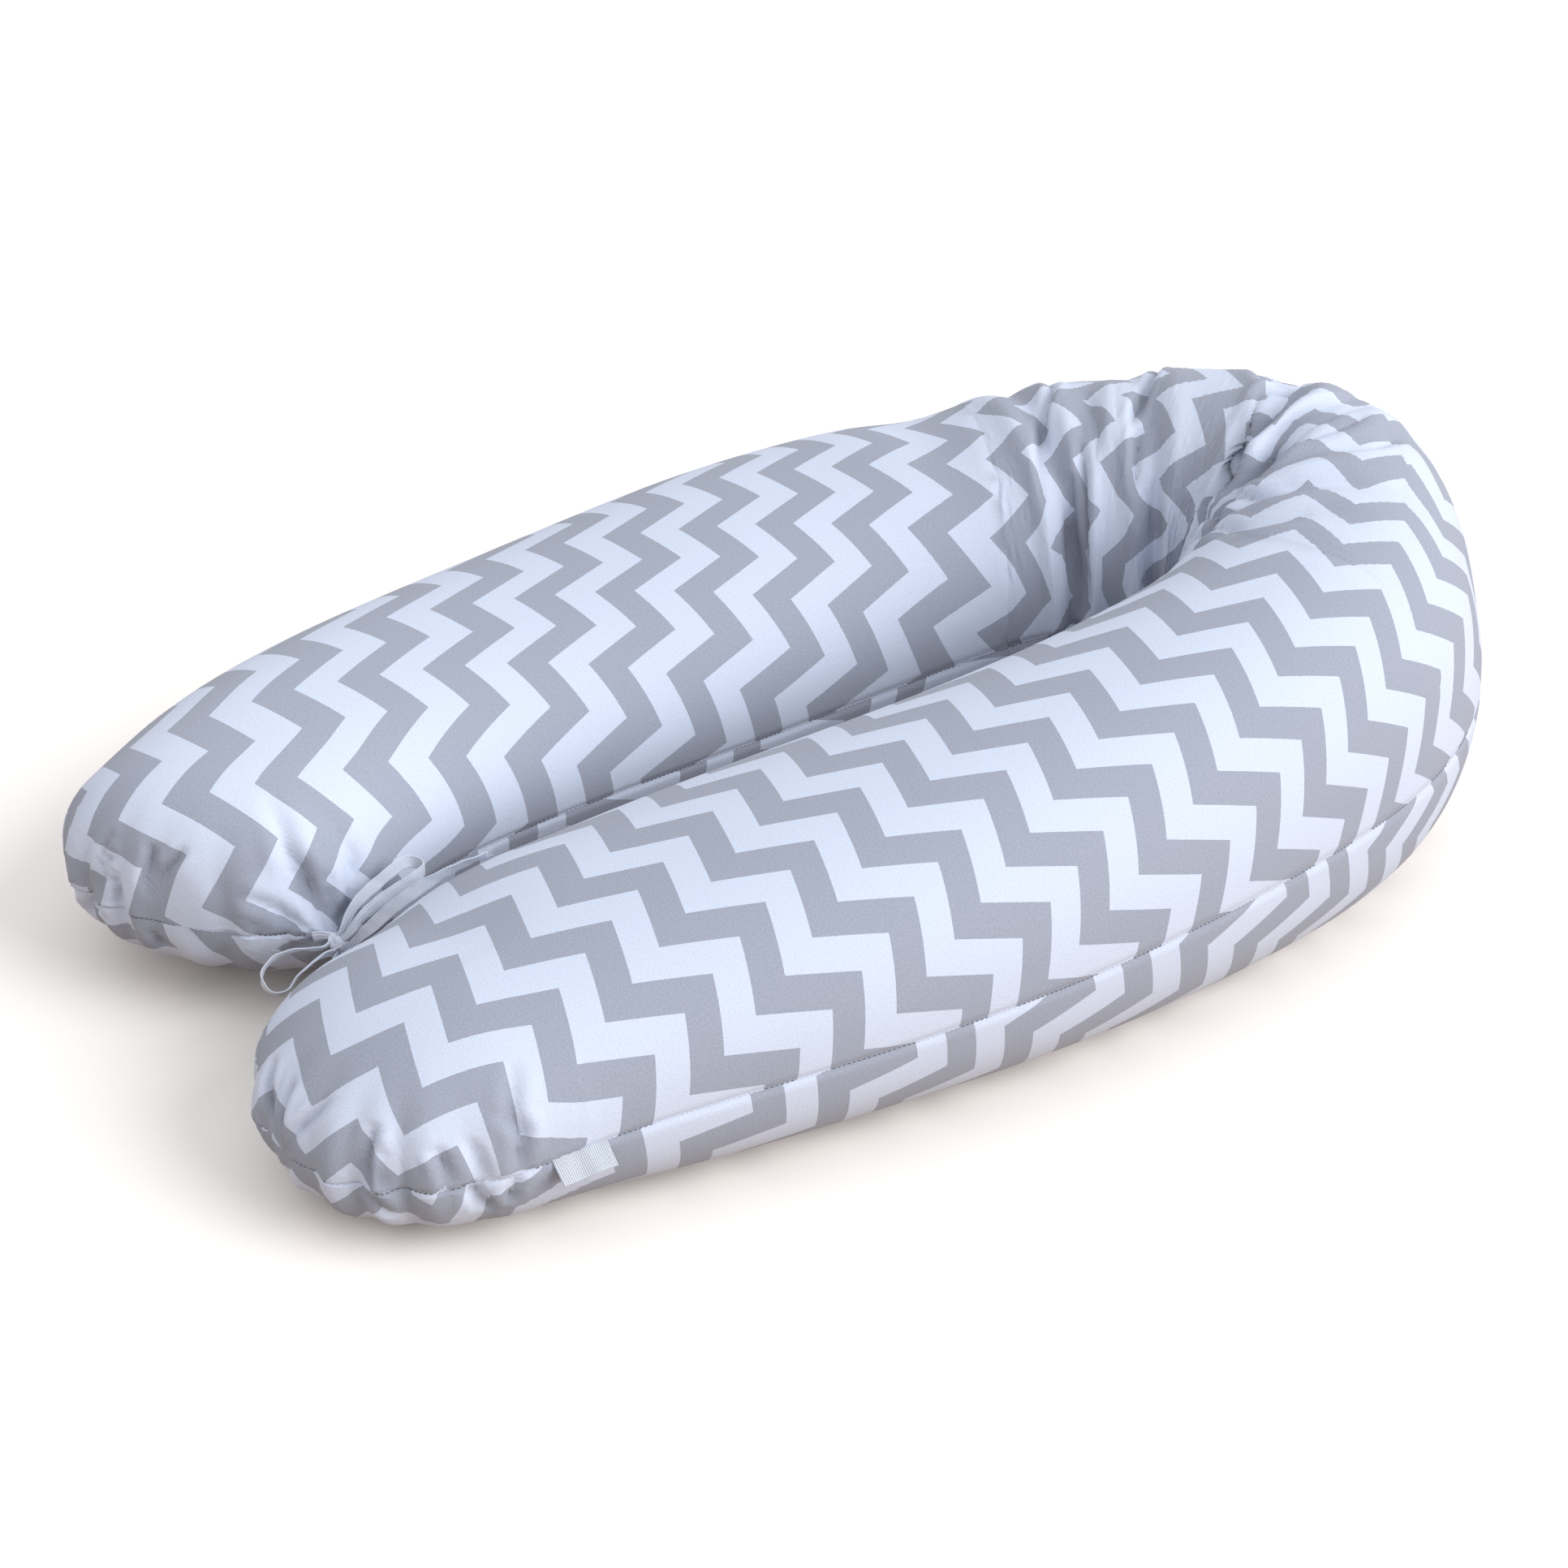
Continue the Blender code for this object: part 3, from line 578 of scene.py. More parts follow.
def label_tape():
    """Woven polyester-satin tape: close ribs across it, a faint gloss."""
    material, tree, shader = start_material("ribbed woven tape")
    cut = add(tree, "ShaderNodeUVMap", {"uv_map": "cut"})
    axes = add(tree, "ShaderNodeSeparateXYZ", links={0: cut})
    # The real ribs are about 0.7 mm apart. They are drawn at 1.3 mm so that they show.
    turn = 2 * math.pi / 0.0013
    rib = add(tree, "ShaderNodeMath", {"operation": "MULTIPLY"}, {0: axes.outputs[0], 1: turn})
    rib = add(tree, "ShaderNodeMath", {"operation": "SINE"}, {0: rib})
    grain = add(tree, "ShaderNodeTexNoise", FLAT, {"Vector": cut, "Scale": 1200.0, "Detail": 2.0})
    height = add(tree, "ShaderNodeMath", SCALED, {0: rib, 1: 0.5, 2: grain})
    # The colour follows that height: darker in the ribs' troughs and lighter on their crests, which is
    # painted shade; the grain's part is the tape's own tone.
    colour = add(tree, "ShaderNodeValToRGB", links={0: height})
    for stop, tone in zip(colour.color_ramp.elements, ("#A3AAB4", "#CFD5DE")):
        stop.color = linear(tone)
    bump = add(tree, "ShaderNodeBump", links={"Strength": 0.5, "Distance": 0.0003, "Height": height})
    connect(tree, shader, {"Base Color": colour, "Roughness": 0.6, "Normal": bump})
    return material


def thread_with_seam_shade():
    """Spun polyester thread, white where it lies on the white print, and dark grey on the grey print,
    where that dark grey is painted shade of the seam's needle holes and gaps.
    """
    material, tree, shader = start_material("spun sewing thread")
    ink = add(tree, "ShaderNodeAttribute", {"attribute_name": "ink"})
    # On the grey print the thread's dark grey is painted shade of the needle holes along the seam.
    colour = {0: ink.outputs["Fac"], 6: linear("#C4CAD8"), 7: linear("#50545E")}
    colour = add(tree, "ShaderNodeMix", COLOURS, colour)
    connect(tree, shader, {"Base Color": colour.outputs[2], "Roughness": 0.7})
    return material


# ---------------------------------------------------------------- the filled body

KNOTS = run_of(STATIONS[:, :2])  # how far along the middle line each station is
LENGTH = KNOTS[-1]


def places_along():
    """Where the net's rings lie along the middle line."""
    quarter = np.linspace(0, math.pi / 2, TIP_STEPS + 1)[1:]
    tip = TIP * (1 - np.cos(quarter))
    first = np.linspace(TIP, BEND[0], ARM_STEPS + 1)[1:]
    bend = np.linspace(*BEND, BEND_STEPS + 1)[1:]
    last = np.linspace(BEND[1], LENGTH - TIP, ARM_STEPS + 1)[1:-1]
    return np.concatenate([tip, first, bend, last, LENGTH - tip[::-1]])


def angles_round():
    """Angles of the net round a section, close together beside both seams."""
    up = np.cumsum(BESIDE_SEAM)
    rest = (QUARTER - up[-1]) / UP_STEPS
    up = np.concatenate([[0], up, up[-1] + rest * np.arange(1, UP_STEPS + 1)]) / QUARTER
    quarter = up * math.pi / 2
    half = np.concatenate([quarter[:-1], math.pi - quarter[::-1][:-1]])
    return np.concatenate([half, math.pi + half])


def quarters_of(angle):
    """Quarters of the section from the inner seam, on either panel."""
    return np.abs(angle - math.pi) / (math.pi / 2)


def off_the_tips(along):
    """0 at a tip and 1 from just beside it."""
    return np.minimum(1, np.minimum(along, LENGTH - along) / TIP_FACE)[:, None]


def end_share(distance, reach):
    """How much of its full size a section has at a distance from its tip."""
    left = np.clip(distance / reach, 0, 1)
    return (1 - (1 - left) ** ROUNDNESS) ** (1 / ROUNDNESS)


def smooth_body():
    """The body before it creases: its rings, its two tips, and where its rings are."""
    along = places_along()
    full = cubic(KNOTS, STATIONS, along)
    ahead = unit(np.gradient(full[:, :2], along, axis=0))
    aside = np.stack([-ahead[:, 1], ahead[:, 0]], axis=1)
    front_share = end_share(LENGTH - along, FRONT_END)
    share = end_share(along, BACK_END) * front_share
    under = end_share(along, BACK_UNDER) * front_share
    angle = angles_round()
    across, upright = (
        np.sign(place) * np.abs(place) ** (2 / ROUNDNESS) for place in (np.cos(angle), np.sin(angle))
    )
    half = full[:, 2] * share
    upper = (1 - SEAM_LEVEL) * full[:, 3] * share**END_FLATTEN
    lower = (SEAM_LEVEL + SINK) * full[:, 3] * under**END_FLATTEN
    rings = np.empty((len(along), len(angle), 3))
    rings[:, :, :2] = full[:, None, :2] + aside[:, None] * (half[:, None] * across)[:, :, None]
    rings[:, :, 2] = np.where(upright > 0, upper[:, None], lower[:, None]) * upright
    rings[:, :, 2] += SEAM_LEVEL * full[:, 3:]
    tips = np.column_stack([STATIONS[[0, -1], :2], SEAM_LEVEL * STATIONS[[0, -1], 3]])
    return rings, tips, along, angle


def normals_of(rings):
    """The way out of the body at each point of the net."""
    along = np.gradient(rings, axis=0)
    around = np.roll(rings, -1, axis=1) - np.roll(rings, 1, axis=1)
    return unit(np.cross(around, along))


def crease_depths(rings, along, angle):
    """How deep the creases, the seam's valley and the slacker places go at each point of the net."""
    stretch = np.linalg.norm(np.gradient(rings, along, axis=0), axis=2)
    quarters = quarters_of(angle)
    is_under = angle > math.pi
    seam = SEAM_VALLEY_WIDTH / QUARTER
    depth = SEAM_VALLEY * (bell(quarters, seam) + bell(2 - quarters, seam))
    depth = np.tile(depth, (len(along), 1))
    reach = np.clip(1 - quarters / UNDER_REACH, 0, 1)
    panel = np.where(is_under, UNDER_SHARE * reach, 1.0)
    for low_at, low, high_at, high, width, deepest in CREASES:
        t = (quarters - low) / (high - low)
        line = low_at + (high_at - low_at) * np.clip(t, 0, 1)
        past = np.maximum(low - quarters, quarters - high)
        fade = np.clip(1 - past / RUN_OUT, 0, 1) * (1 - LOSS * np.clip(t, 0, 1))
        deep = np.minimum(deepest * panel * fade, STEEPEST * width * stretch)
        depth += deep * furrow(along[:, None] - line[None, :], width)
    signed = np.where(is_under, -quarters, quarters)
    for place, quarter, long, wide, height in FULLER:
        depth -= height * bell(along - place, long)[:, None] * bell(signed - quarter, wide)
    return depth


def pucker_depths(rings, seam, puckers):
    """How deep the gathers along one tip's seam go at each point of the net."""
    depth = np.zeros(rings.shape[:2])
    run = run_of(seam)
    run = run[len(seam) // 2] - run
    for place, width, deepest in puckers:
        k = int(np.argmin(np.abs(run - place)))
        tangent = unit(seam[k + 1] - seam[k - 1])
        offset = rings - seam[k]
        far = np.linalg.norm(offset, axis=2)
        depth += deepest * bell(far, PUCKER_REACH) * furrow(offset @ tangent, width)
    return depth


def creased_body(rings, tips, along, angle):
    """The smooth body with its creases, its gathers and the point that the back tie pulls on."""
    half_way = len(angle) // 2
    outward = normals_of(rings)
    outer, inner = rings[:, 0], rings[:, half_way]
    near_back, near_front = along < TIP_SEAM, along > LENGTH - TIP_SEAM
    back_seam = np.concatenate([outer[near_back][::-1], tips[:1], inner[near_back]])
    front_seam = np.concatenate([outer[near_front], tips[1:], inner[near_front][::-1]])
    depth = crease_depths(rings, along, angle)
    depth += pucker_depths(rings, back_seam, BACK_PUCKERS)
    depth += pucker_depths(rings, front_seam, FRONT_PUCKERS)
    depth *= off_the_tips(along)
    drawn = inner[np.argmin(np.abs(along - DRAWN_AT))]
    move = DRAWN_OUT * np.exp(-np.linalg.norm(rings - drawn, axis=2) / DRAWN_SPREAD)
    rings = rings - outward * depth[:, :, None]
    rings += move[:, :, None] * unit(KNOT - drawn)
    rings[:, :, 2] = np.maximum(rings[:, :, 2], 0)
    return rings


def read_net(values, rows, columns):
    """Values of the net between its points; columns go round."""
    i = np.clip(np.floor(rows).astype(int), 0, len(values) - 2)
    j = np.floor(columns).astype(int)
    s, t = (rows - i)[:, None], (columns - j)[:, None]
    j, k = j % values.shape[1], (j + 1) % values.shape[1]
    near = values[i, j] * (1 - t) + values[i, k] * t
    return near * (1 - s) + (values[i + 1, j] * (1 - t) + values[i + 1, k] * t) * s


def wrinkle_depths(rings, along, angle):
    """How deep the sharp wrinkles go at each point of the net, V-shaped with a low lip each side, and
    how much painted shade their closed bottoms get, for the light that they keep out."""
    outward = normals_of(rings)
    depth, painted_shade = np.zeros(rings.shape[:2]), np.zeros(rings.shape[:2])
    share = np.linspace(0, 1, WRINKLE_LINE)
    taper = np.clip(np.minimum(share, 1 - share) / WRINKLE_END, 0, 1) ** END_POWER
    for width, deepest, places in WRINKLES:
        places = cubic(np.linspace(0, 1, len(places)), places, share)
        rows = np.interp(places[:, 0], along, np.arange(len(along)))
        turned = math.pi - places[:, 1] * math.pi / 2
        columns = np.interp(turned, np.append(angle, 2 * math.pi), np.arange(len(angle) + 1))
        line = read_net(rings, rows, columns)
        across = unit(np.cross(np.gradient(line, axis=0), read_net(outward, rows, columns)))
        reach = WRINKLE_REACH * width
        near = np.all((rings > line.min(axis=0) - reach) & (rings < line.max(axis=0) + reach), axis=2)
        offset = rings[near][:, None] - line
        far = np.einsum("ijk,ijk->ij", offset, offset)
        closest = np.argmin(far, axis=1)
        pick = np.arange(len(closest))
        aside = np.einsum("ij,ij->i", offset[pick, closest], across[closest])
        beyond = np.sqrt(np.maximum(far[pick, closest] - aside**2, 0))
        side = aside / width
        lips = bell(side - LIP_AT, 1) + bell(side + LIP_AT, 1)
        form = np.exp(-V_SHARPNESS * np.abs(side)) - LIP * lips
        held = taper[closest] * bell(beyond, WRINKLE_CAP * width)
        depth[near] += deepest * held * form
        painted_shade[near] += np.interp(deepest, SHADED, (0, 1)) * held * bell(side, SHADE_WIDTH)
    return depth, np.minimum(painted_shade, 1)


def finished_body(net, smooth_rings, along, angle):
    """The settled cover with its sharp wrinkles, its corner drawn right up to the knot, and the painted
    shade of the wrinkles' bottoms.
    """
    depth, painted_shade = wrinkle_depths(smooth_rings, along, angle)
    depth *= off_the_tips(along)
    net = net - normals_of(net) * depth[:, :, None]
    drawn = net[np.argmin(np.abs(along - DRAWN_AT)), len(angle) // 2].copy()
    gap = KNOT - drawn
    move = gap - unit(gap) * TIED_SHORT
    far = np.linalg.norm(net - drawn, axis=2)
    net += np.exp(-far / TIED_SPREAD)[:, :, None] * move
    net[:, :, 2] = np.maximum(net[:, :, 2], 0)
    return net, painted_shade


def surplus_of(along, angle):
    """How much longer the cloth is than the body under it, along and round, as shares."""
    quarters = quarters_of(angle)
    to_seam = np.minimum(quarters, 2 - quarters)
    bend = bell(along - SPARE_AT, SPARE_SPREAD)[:, None] * np.clip(SPARE_UP - quarters, 0, 1)[None, :]
    tip = bell(along, TIP_SPREAD[0]) + bell(LENGTH - along, TIP_SPREAD[1])
    tip = tip[:, None] * bell(to_seam, SEAM_SPREAD)[None, :]
    lengthwise = PLAIN_SPARE + BEND_SPARE[0] * bend + TIP_SPARE[0] * tip
    crosswise = PLAIN_SPARE + TIP_SPARE[1] * tip + BEND_SPARE[1] * bend
    return lengthwise, crosswise


def pull(first, second, rest, share):
    """Move two sets of points towards their rest distance."""
    gap = second - first
    far = np.sqrt(np.einsum("...i,...i", gap, gap))[..., None]
    move = gap * ((share / 2) * (1 - rest / np.maximum(far, 1e-7)))
    first += move
    second -= move


def settle(goal, along, angle):
    """Relax the cover over its filling as cloth: threads keep their length, the surplus buckles."""
    net = goal.copy()
    outward = normals_of(goal)
    rng = np.random.default_rng(SEED)
    rough = rng.standard_normal(goal.shape[:2])
    for _ in range(SMOOTHED):
        rough = (rough + np.roll(rough, 1, 1) + np.roll(rough, -1, 1)) / 3
        rough[1:-1] = (rough[:-2] + rough[1:-1] + rough[2:]) / 3
    net += outward * (rough * UNEVEN)[:, :, None]
    lengthwise, crosswise = surplus_of(along, angle)
    links = []

    def tie(rows_a, cols_a, rows_b, cols_b, spare, share):
        first, second = goal[rows_a, cols_a], goal[rows_b, cols_b]
        rest = np.linalg.norm(second - first, axis=-1) * (1 + spare[rows_a, cols_a])
        links.append((net[rows_a, cols_a], net[rows_b, cols_b], rest[..., None], share))

    every = slice(None)
    half = (lengthwise + crosswise) / 2
    for k in (0, 1):
        count = (len(along) - k) // 2 * 2
        tie(slice(k, k + count, 2), every, slice(k + 1, k + count, 2), every, lengthwise, 1.0)
        tie(every, slice(k, None if k == 0 else -1, 2), every, slice(k + 1, None, 2), crosswise, 1.0)
        rows = slice(k, k + count, 2), slice(k + 1, k + count, 2)
        tie(rows[0], slice(None, -1), rows[1], slice(1, None), half, SHEAR)
        tie(rows[0], slice(1, None), rows[1], slice(None, -1), half, SHEAR)
    tie(every, -1, every, 0, crosswise, 1.0)
    for k in range(4):
        count = (len(along) - k) // 4 * 4
        tie(slice(k, k + count, 4), every, slice(k + 2, k + count, 4), every, lengthwise, BENDING)
        tie(every, slice(k, -2, 4), every, slice(k + 2, None, 4), crosswise, BENDING)
    for _ in range(ROUNDS):
        for first, second, rest, share in links:
            pull(first, second, rest, share)
        off = goal - net
        straight = np.einsum("...i,...i", off, outward)[..., None] * outward
        net += FILLING_PUSH * straight + FILLING_DRAG * (off - straight)
        np.maximum(net[:, :, 2], 0, out=net[:, :, 2])
    off = net - goal
    far = np.linalg.norm(off, axis=2, keepdims=True)
    return goal + off * np.minimum(1, MOST_MOVED / np.maximum(far, 1e-9))


def fanned(cut, points, far, reach, end, ahead, inward):
    """One end of a panel's flat cut, its columns spread from the tip like a fan. ahead is the way
    into the pillow on the flat cloth, inward the way to the inner seam."""
    runs = np.stack([run_of(column) for column in np.swapaxes(points, 0, 1)], 1)
    turn = run_of(points[FAN_RING])
    turn = turn / turn[-1] * math.pi
    fan = end + (runs * np.sin(turn))[:, :, None] * ahead - (runs * np.cos(turn))[:, :, None] * inward
    held = np.clip(far / reach, 0, 1)
    held = ((3 - 2 * held) * held**2) ** FAN_EASING
    return fan + held[:, None, None] * (cut - fan)


def tuck(cut, solid, along, quarters):
    """Hide the spare cloth of a panel's bend in its folds: between them the print keeps its scale."""
    first, last = np.searchsorted(along, TUCKED)
    rows = slice(first, last + 1)
    at = along[rows, None]
    hidden = (at - at[0]) / (at[-1] - at[0]) * np.ones(len(quarters))
    for share, places in TUCKS:
        places = np.array(places)
        line = np.interp(quarters, places[:, 1], places[:, 0])
        past = np.maximum(places[0, 1] - quarters, quarters - places[-1, 1])
        share = share * np.clip(1 - past / TUCK_FADE, 0, 1)
        hidden += share * (1 + np.tanh((at - line) / TUCK_STEP / 2)) / 2
    for j in range(len(quarters)):
        cloth, body_run = run_of(cut[:, j]), run_of(solid[rows, j])
        spare = cloth[last] - cloth[first] - body_run[-1]
        if spare > 0:
            share = (hidden[:, j] - hidden[0, j]) / (hidden[-1, j] - hidden[0, j])
            place = cloth[first] + body_run + spare * share
            cut[rows, j] = np.stack([np.interp(place, cloth, c) for c in cut[:, j].T], 1)


def flat_cut(rings, tips, along, angle):
    """Where each point of the cover lies on its flat panel, for the upper and the lower one, and
    where the two tips lie."""
    quarter = len(angle) // 4
    crown = rings[:, quarter]
    run = np.linalg.norm(crown[0] - tips[0]) + run_of(crown)
    centre = cubic(CUT[:, 0], CUT[:, 1:], run)
    turned = np.radians(centre[:, 2])
    inward = np.stack([np.sin(turned), -np.cos(turned)], 1)
    step = np.linalg.norm(np.roll(rings, -1, 1) - rings, axis=2)
    back = int(np.sum(along < FAN[0]))
    front = int(np.sum(along > along[-1] - FAN[1]))
    at, *shift = np.array(UNDER_PRINT).T
    moved = np.stack([np.interp(along, at, s) for s in shift], 1)
    panels, ends = [], []
    for under in (0, 1):
        start = 2 * quarter * under
        half = np.cumsum(step[:, start : start + 2 * quarter], 1)
        half = np.concatenate([np.zeros((len(along), 1)), half], 1)
        half -= half[:, quarter : quarter + 1]
        cut = centre[:, None, :2] + inward[:, None] * (half * (1 - 2 * under))[:, :, None]
        columns = np.arange(start, start + 2 * quarter + 1) % len(angle)
        if not under:
            tuck(cut, rings[:, columns], along, 2 - angle[columns] / (math.pi / 2))
        tip_cuts = []
        for tip, rows in ((0, slice(0, back)), (1, slice(-1, -front - 1, -1))):
            # The last step to the front tip is taken to be as long as the first from the back one.
            *end, heading = cubic(CUT[:, 0], CUT[:, 1:], [(run[-1] + run[0]) * tip])[0]
            ahead = np.array((math.cos(math.radians(heading)), math.sin(math.radians(heading))))
            side = np.array((ahead[1], -ahead[0])) * (1 - 2 * under)
            flat = np.concatenate([np.tile(end, (1, len(columns), 1)), cut[rows]])
            solid = rings[rows][:, columns]
            solid = np.concatenate([np.repeat(tips[tip][None, None], len(columns), 1), solid])
            far = np.concatenate([[0], np.abs(along[rows] - along[-tip])])
            flat = fanned(flat, solid, far, FAN[tip], end, ahead * (1 - 2 * tip), side)
            cut[rows] = flat[1:]
            tip_cuts.append(flat[0].mean(axis=0))
        panels.append(cut + moved[:, None] * under)
        ends.append(np.array(tip_cuts) + moved[[0, -1]] * under)
    return panels, ends


def cover_mesh(name, rings, tips, panels, ends):
    """The closed cover, with the flat cut of its two panels as its UV map."""
    rows, count = rings.shape[:2]
    half = count // 2
    points = np.concatenate([rings.reshape(-1, 3), tips])
    faces, cuts = [], []

    def place(i, j, under):
        return panels[under][i, j - half * under]

    for j in range(count):
        under, k = int(j >= half), (j + 1) % count
        for i in range(rows - 1):
            faces.append((i * count + j, (i + 1) * count + j, (i + 1) * count + k, i * count + k))
            cuts += [place(i, j, under), place(i + 1, j, under)]
            cuts += [place(i + 1, j + 1, under), place(i, j + 1, under)]
        last = rows - 1
        faces.append((rows * count, j, k))
        cuts += [ends[under][0], place(0, j, under), place(0, j + 1, under)]
        faces.append((rows * count + 1, last * count + k, last * count + j))
        cuts += [ends[under][1], place(last, j + 1, under), place(last, j, under)]
    mesh = bpy.data.meshes.new(name)
    mesh.from_pydata(points.tolist(), [], faces)
    mesh.uv_layers.new(name="cut").data.foreach_set("uv", np.array(cuts).ravel())
    outside_out(mesh)
    mesh.shade_smooth()
    return mesh


smooth_rings, tips, along, angle = smooth_body()
panels, ends = flat_cut(smooth_rings, tips, along, angle)
body = creased_body(smooth_rings, tips, along, angle)
body = settle(body, along, angle)
body, painted_shade = finished_body(body, smooth_rings, along, angle)
cloth = cover_mesh("cover", body + CENTRING, tips + CENTRING, panels, ends)
cover = new_object("cover", cloth, printed_cotton())
# The painted shade of the wrinkles' bottoms goes on the cover as its fold attribute; the tips get none.
painted_shade = np.append(painted_shade.ravel(), (0, 0))
cover.data.attributes.new("fold", "FLOAT", "POINT").data.foreach_set("value", painted_shade)
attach(cover, "root")
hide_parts("pillow")


# ---------------------------------------------------------------- tapes, knot and label


def skin(name, sections, cuts, closed=False):
    """A closed form through rings of points, or a closed loop of them. cuts is its UV map, with one
    column more than the rings have points, and one row more if it is a loop."""
    rows, count = sections.shape[:2]
    faces, places = [], []
    for i in range(rows if closed else rows - 1):
        here, there = i * count, (i + 1) % rows * count
        for j in range(count):
            k = (j + 1) % count
            faces.append((here + j, here + k, there + k, there + j))
            places += [cuts[i, j], cuts[i, j + 1], cuts[i + 1, j + 1], cuts[i + 1, j]]
    flat = len(faces)
    if not closed:
        for i in (0, rows - 1):
            faces.append(tuple(range(i * count, (i + 1) * count)))
            places += list(cuts[i, :count])
    mesh = bpy.data.meshes.new(name)
    mesh.from_pydata(sections.reshape(-1, 3).tolist(), [], faces)
    mesh.uv_layers.new(name="cut").data.foreach_set("uv", np.array(places).ravel())
    mesh.shade_smooth()
    for polygon in mesh.polygons[flat:]:
        polygon.use_smooth = False
    outside_out(mesh)
    return mesh


def joined(name, meshes):
    """One mesh made of several."""
    bm = bmesh.new()
    for mesh in meshes:
        bm.from_mesh(mesh)
    whole = bpy.data.meshes.new(name)
    bm.to_mesh(whole)
    bm.free()
    return whole


def tape_section():
    """The tape across: places from -1 to 1 over its width, there and back, and its two faces."""
    across = np.sin(np.linspace(-math.pi / 2, math.pi / 2, TAPE_POINTS))
    there_and_back = np.concatenate([across[:-1], across[:0:-1]])
    face = np.repeat([1.0, -1.0], TAPE_POINTS - 1)
    thick = np.sqrt(np.maximum(1 - np.abs(there_and_back) ** TAPE_EDGE, 0.0))
    thick *= 1 - HEM_DEPTH * bell(there_and_back - TAPE_HEM, HEM_WIDTH)
    return there_and_back, face * thick


def tape_cuts(at, across, width):
    """A tape's UV map: metres across it and along it, the first column again as the last."""
    cuts = np.empty((len(at), len(across) + 1, 2))
    cuts[:, :, 0] = np.append(across, across[0]) * width / 2
    cuts[:, :, 1] = at[:, None]
    return cuts


def make_tape(name, rows):
    """A folded, edge-stitched tape along rows of points, its middle line and length, and the way
    across it at its end."""
    rows = np.array(rows)
    knots = run_of(rows[:, :3])
    at = np.linspace(0, knots[-1], round(knots[-1] / TAPE_STEP) + 1)
    values = cubic(knots, rows, at)
    line, lean, width = values[:, :3] + CENTRING, np.radians(values[:, 3]), values[:, 4]
    run = unit(np.gradient(line, axis=0))
    level = unit(np.cross(run, [0, 0, 1]))
    upright = np.cross(level, run)
    wide = upright * np.cos(lean)[:, None] + level * np.sin(lean)[:, None]
    face = np.cross(run, wide)
    across, thick = tape_section()
    drawn = np.clip(1 - width / TAPE_WIDTH, 0, 1)[:, None]
    sway = sum(height * np.sin(at / turn + start) for height, turn, start in TAPE_SWAY)
    lift = thick[None, :] * TAPE_THICKNESS / 2
    lift = lift + drawn * GATHER_DEPTH * np.cos(GATHERS * math.pi * across + GATHER_SHIFT * drawn)
    lift = lift + TAPE_CUP * (across**2 - CUP_LEVEL) + sway[:, None] * across
    side = across * width[:, None] / 2
    sections = line[:, None] + side[:, :, None] * wide[:, None] + lift[:, :, None] * face[:, None]
    return skin(name, sections, tape_cuts(at, across, TAPE_WIDTH)), line, at[-1], wide[-1]


def frayed_threads(line, wide):
    """The threads that stand out of the cut end of a tape, each a thin curl."""
    run = unit(line[-1] - line[-3])
    round_it = np.linspace(0, 2 * math.pi, FRAY_SIDES, endpoint=False)[:, None]
    t = np.linspace(0, 1, FRAY_STEPS)[:, None]
    meshes = []
    for place, length, curl, turns in FRAYS:
        turn = t * turns * 2 * math.pi
        side = wide * np.sign(place)
        path = line[-1] - run * FRAY_ROOT + wide * place * TAPE_WIDTH * FRAY_SPREAD
        path = path + run * (length * t * FRAY_AHEAD + curl * np.sin(turn))
        path = path + side * curl * (1 - np.cos(turn))
        ahead = unit(np.gradient(path, axis=0))
        across = unit(np.cross(ahead, np.cross(run, wide)))
        above = np.cross(ahead, across)
        ring = across[:, None] * np.cos(round_it) + above[:, None] * np.sin(round_it)
        sections = path[:, None] + ring * FRAY_THICKNESS / 2
        meshes.append(skin("thread", sections, np.zeros((FRAY_STEPS, FRAY_SIDES + 1, 2))))
    return meshes


def make_turn(centre, axis, radius, width, drift):
    """One turn of tape round the knot, its edges tucked in."""
    axis = unit(np.array(axis))
    first = unit(np.cross(axis, [0.3, 1, 0.2]))  # any direction across it
    second = np.cross(axis, first)
    turn = np.linspace(0, 2 * math.pi, TURN_STEPS, endpoint=False)
    outward = np.cos(turn)[:, None] * first + np.sin(turn)[:, None] * second
    across, thick = tape_section()
    pleat = TURN_PLEAT * np.cos(PLEATS_ACROSS * across) * np.cos(PLEATS_ROUND * turn)[:, None]
    out = radius - TURN_CROWN * across**2 + thick * TURN_THICKNESS / 2 + pleat
    shift = across * width / 2 + drift * np.sin(turn + DRIFT_START)[:, None]
    sections = KNOT + CENTRING + np.array(centre)
    sections = sections + out[:, :, None] * outward[:, None] + shift[:, :, None] * axis
    round_it = np.linspace(0, 2 * math.pi * radius, TURN_STEPS + 1)
    return skin("turn", sections, tape_cuts(round_it, across, width), closed=True)


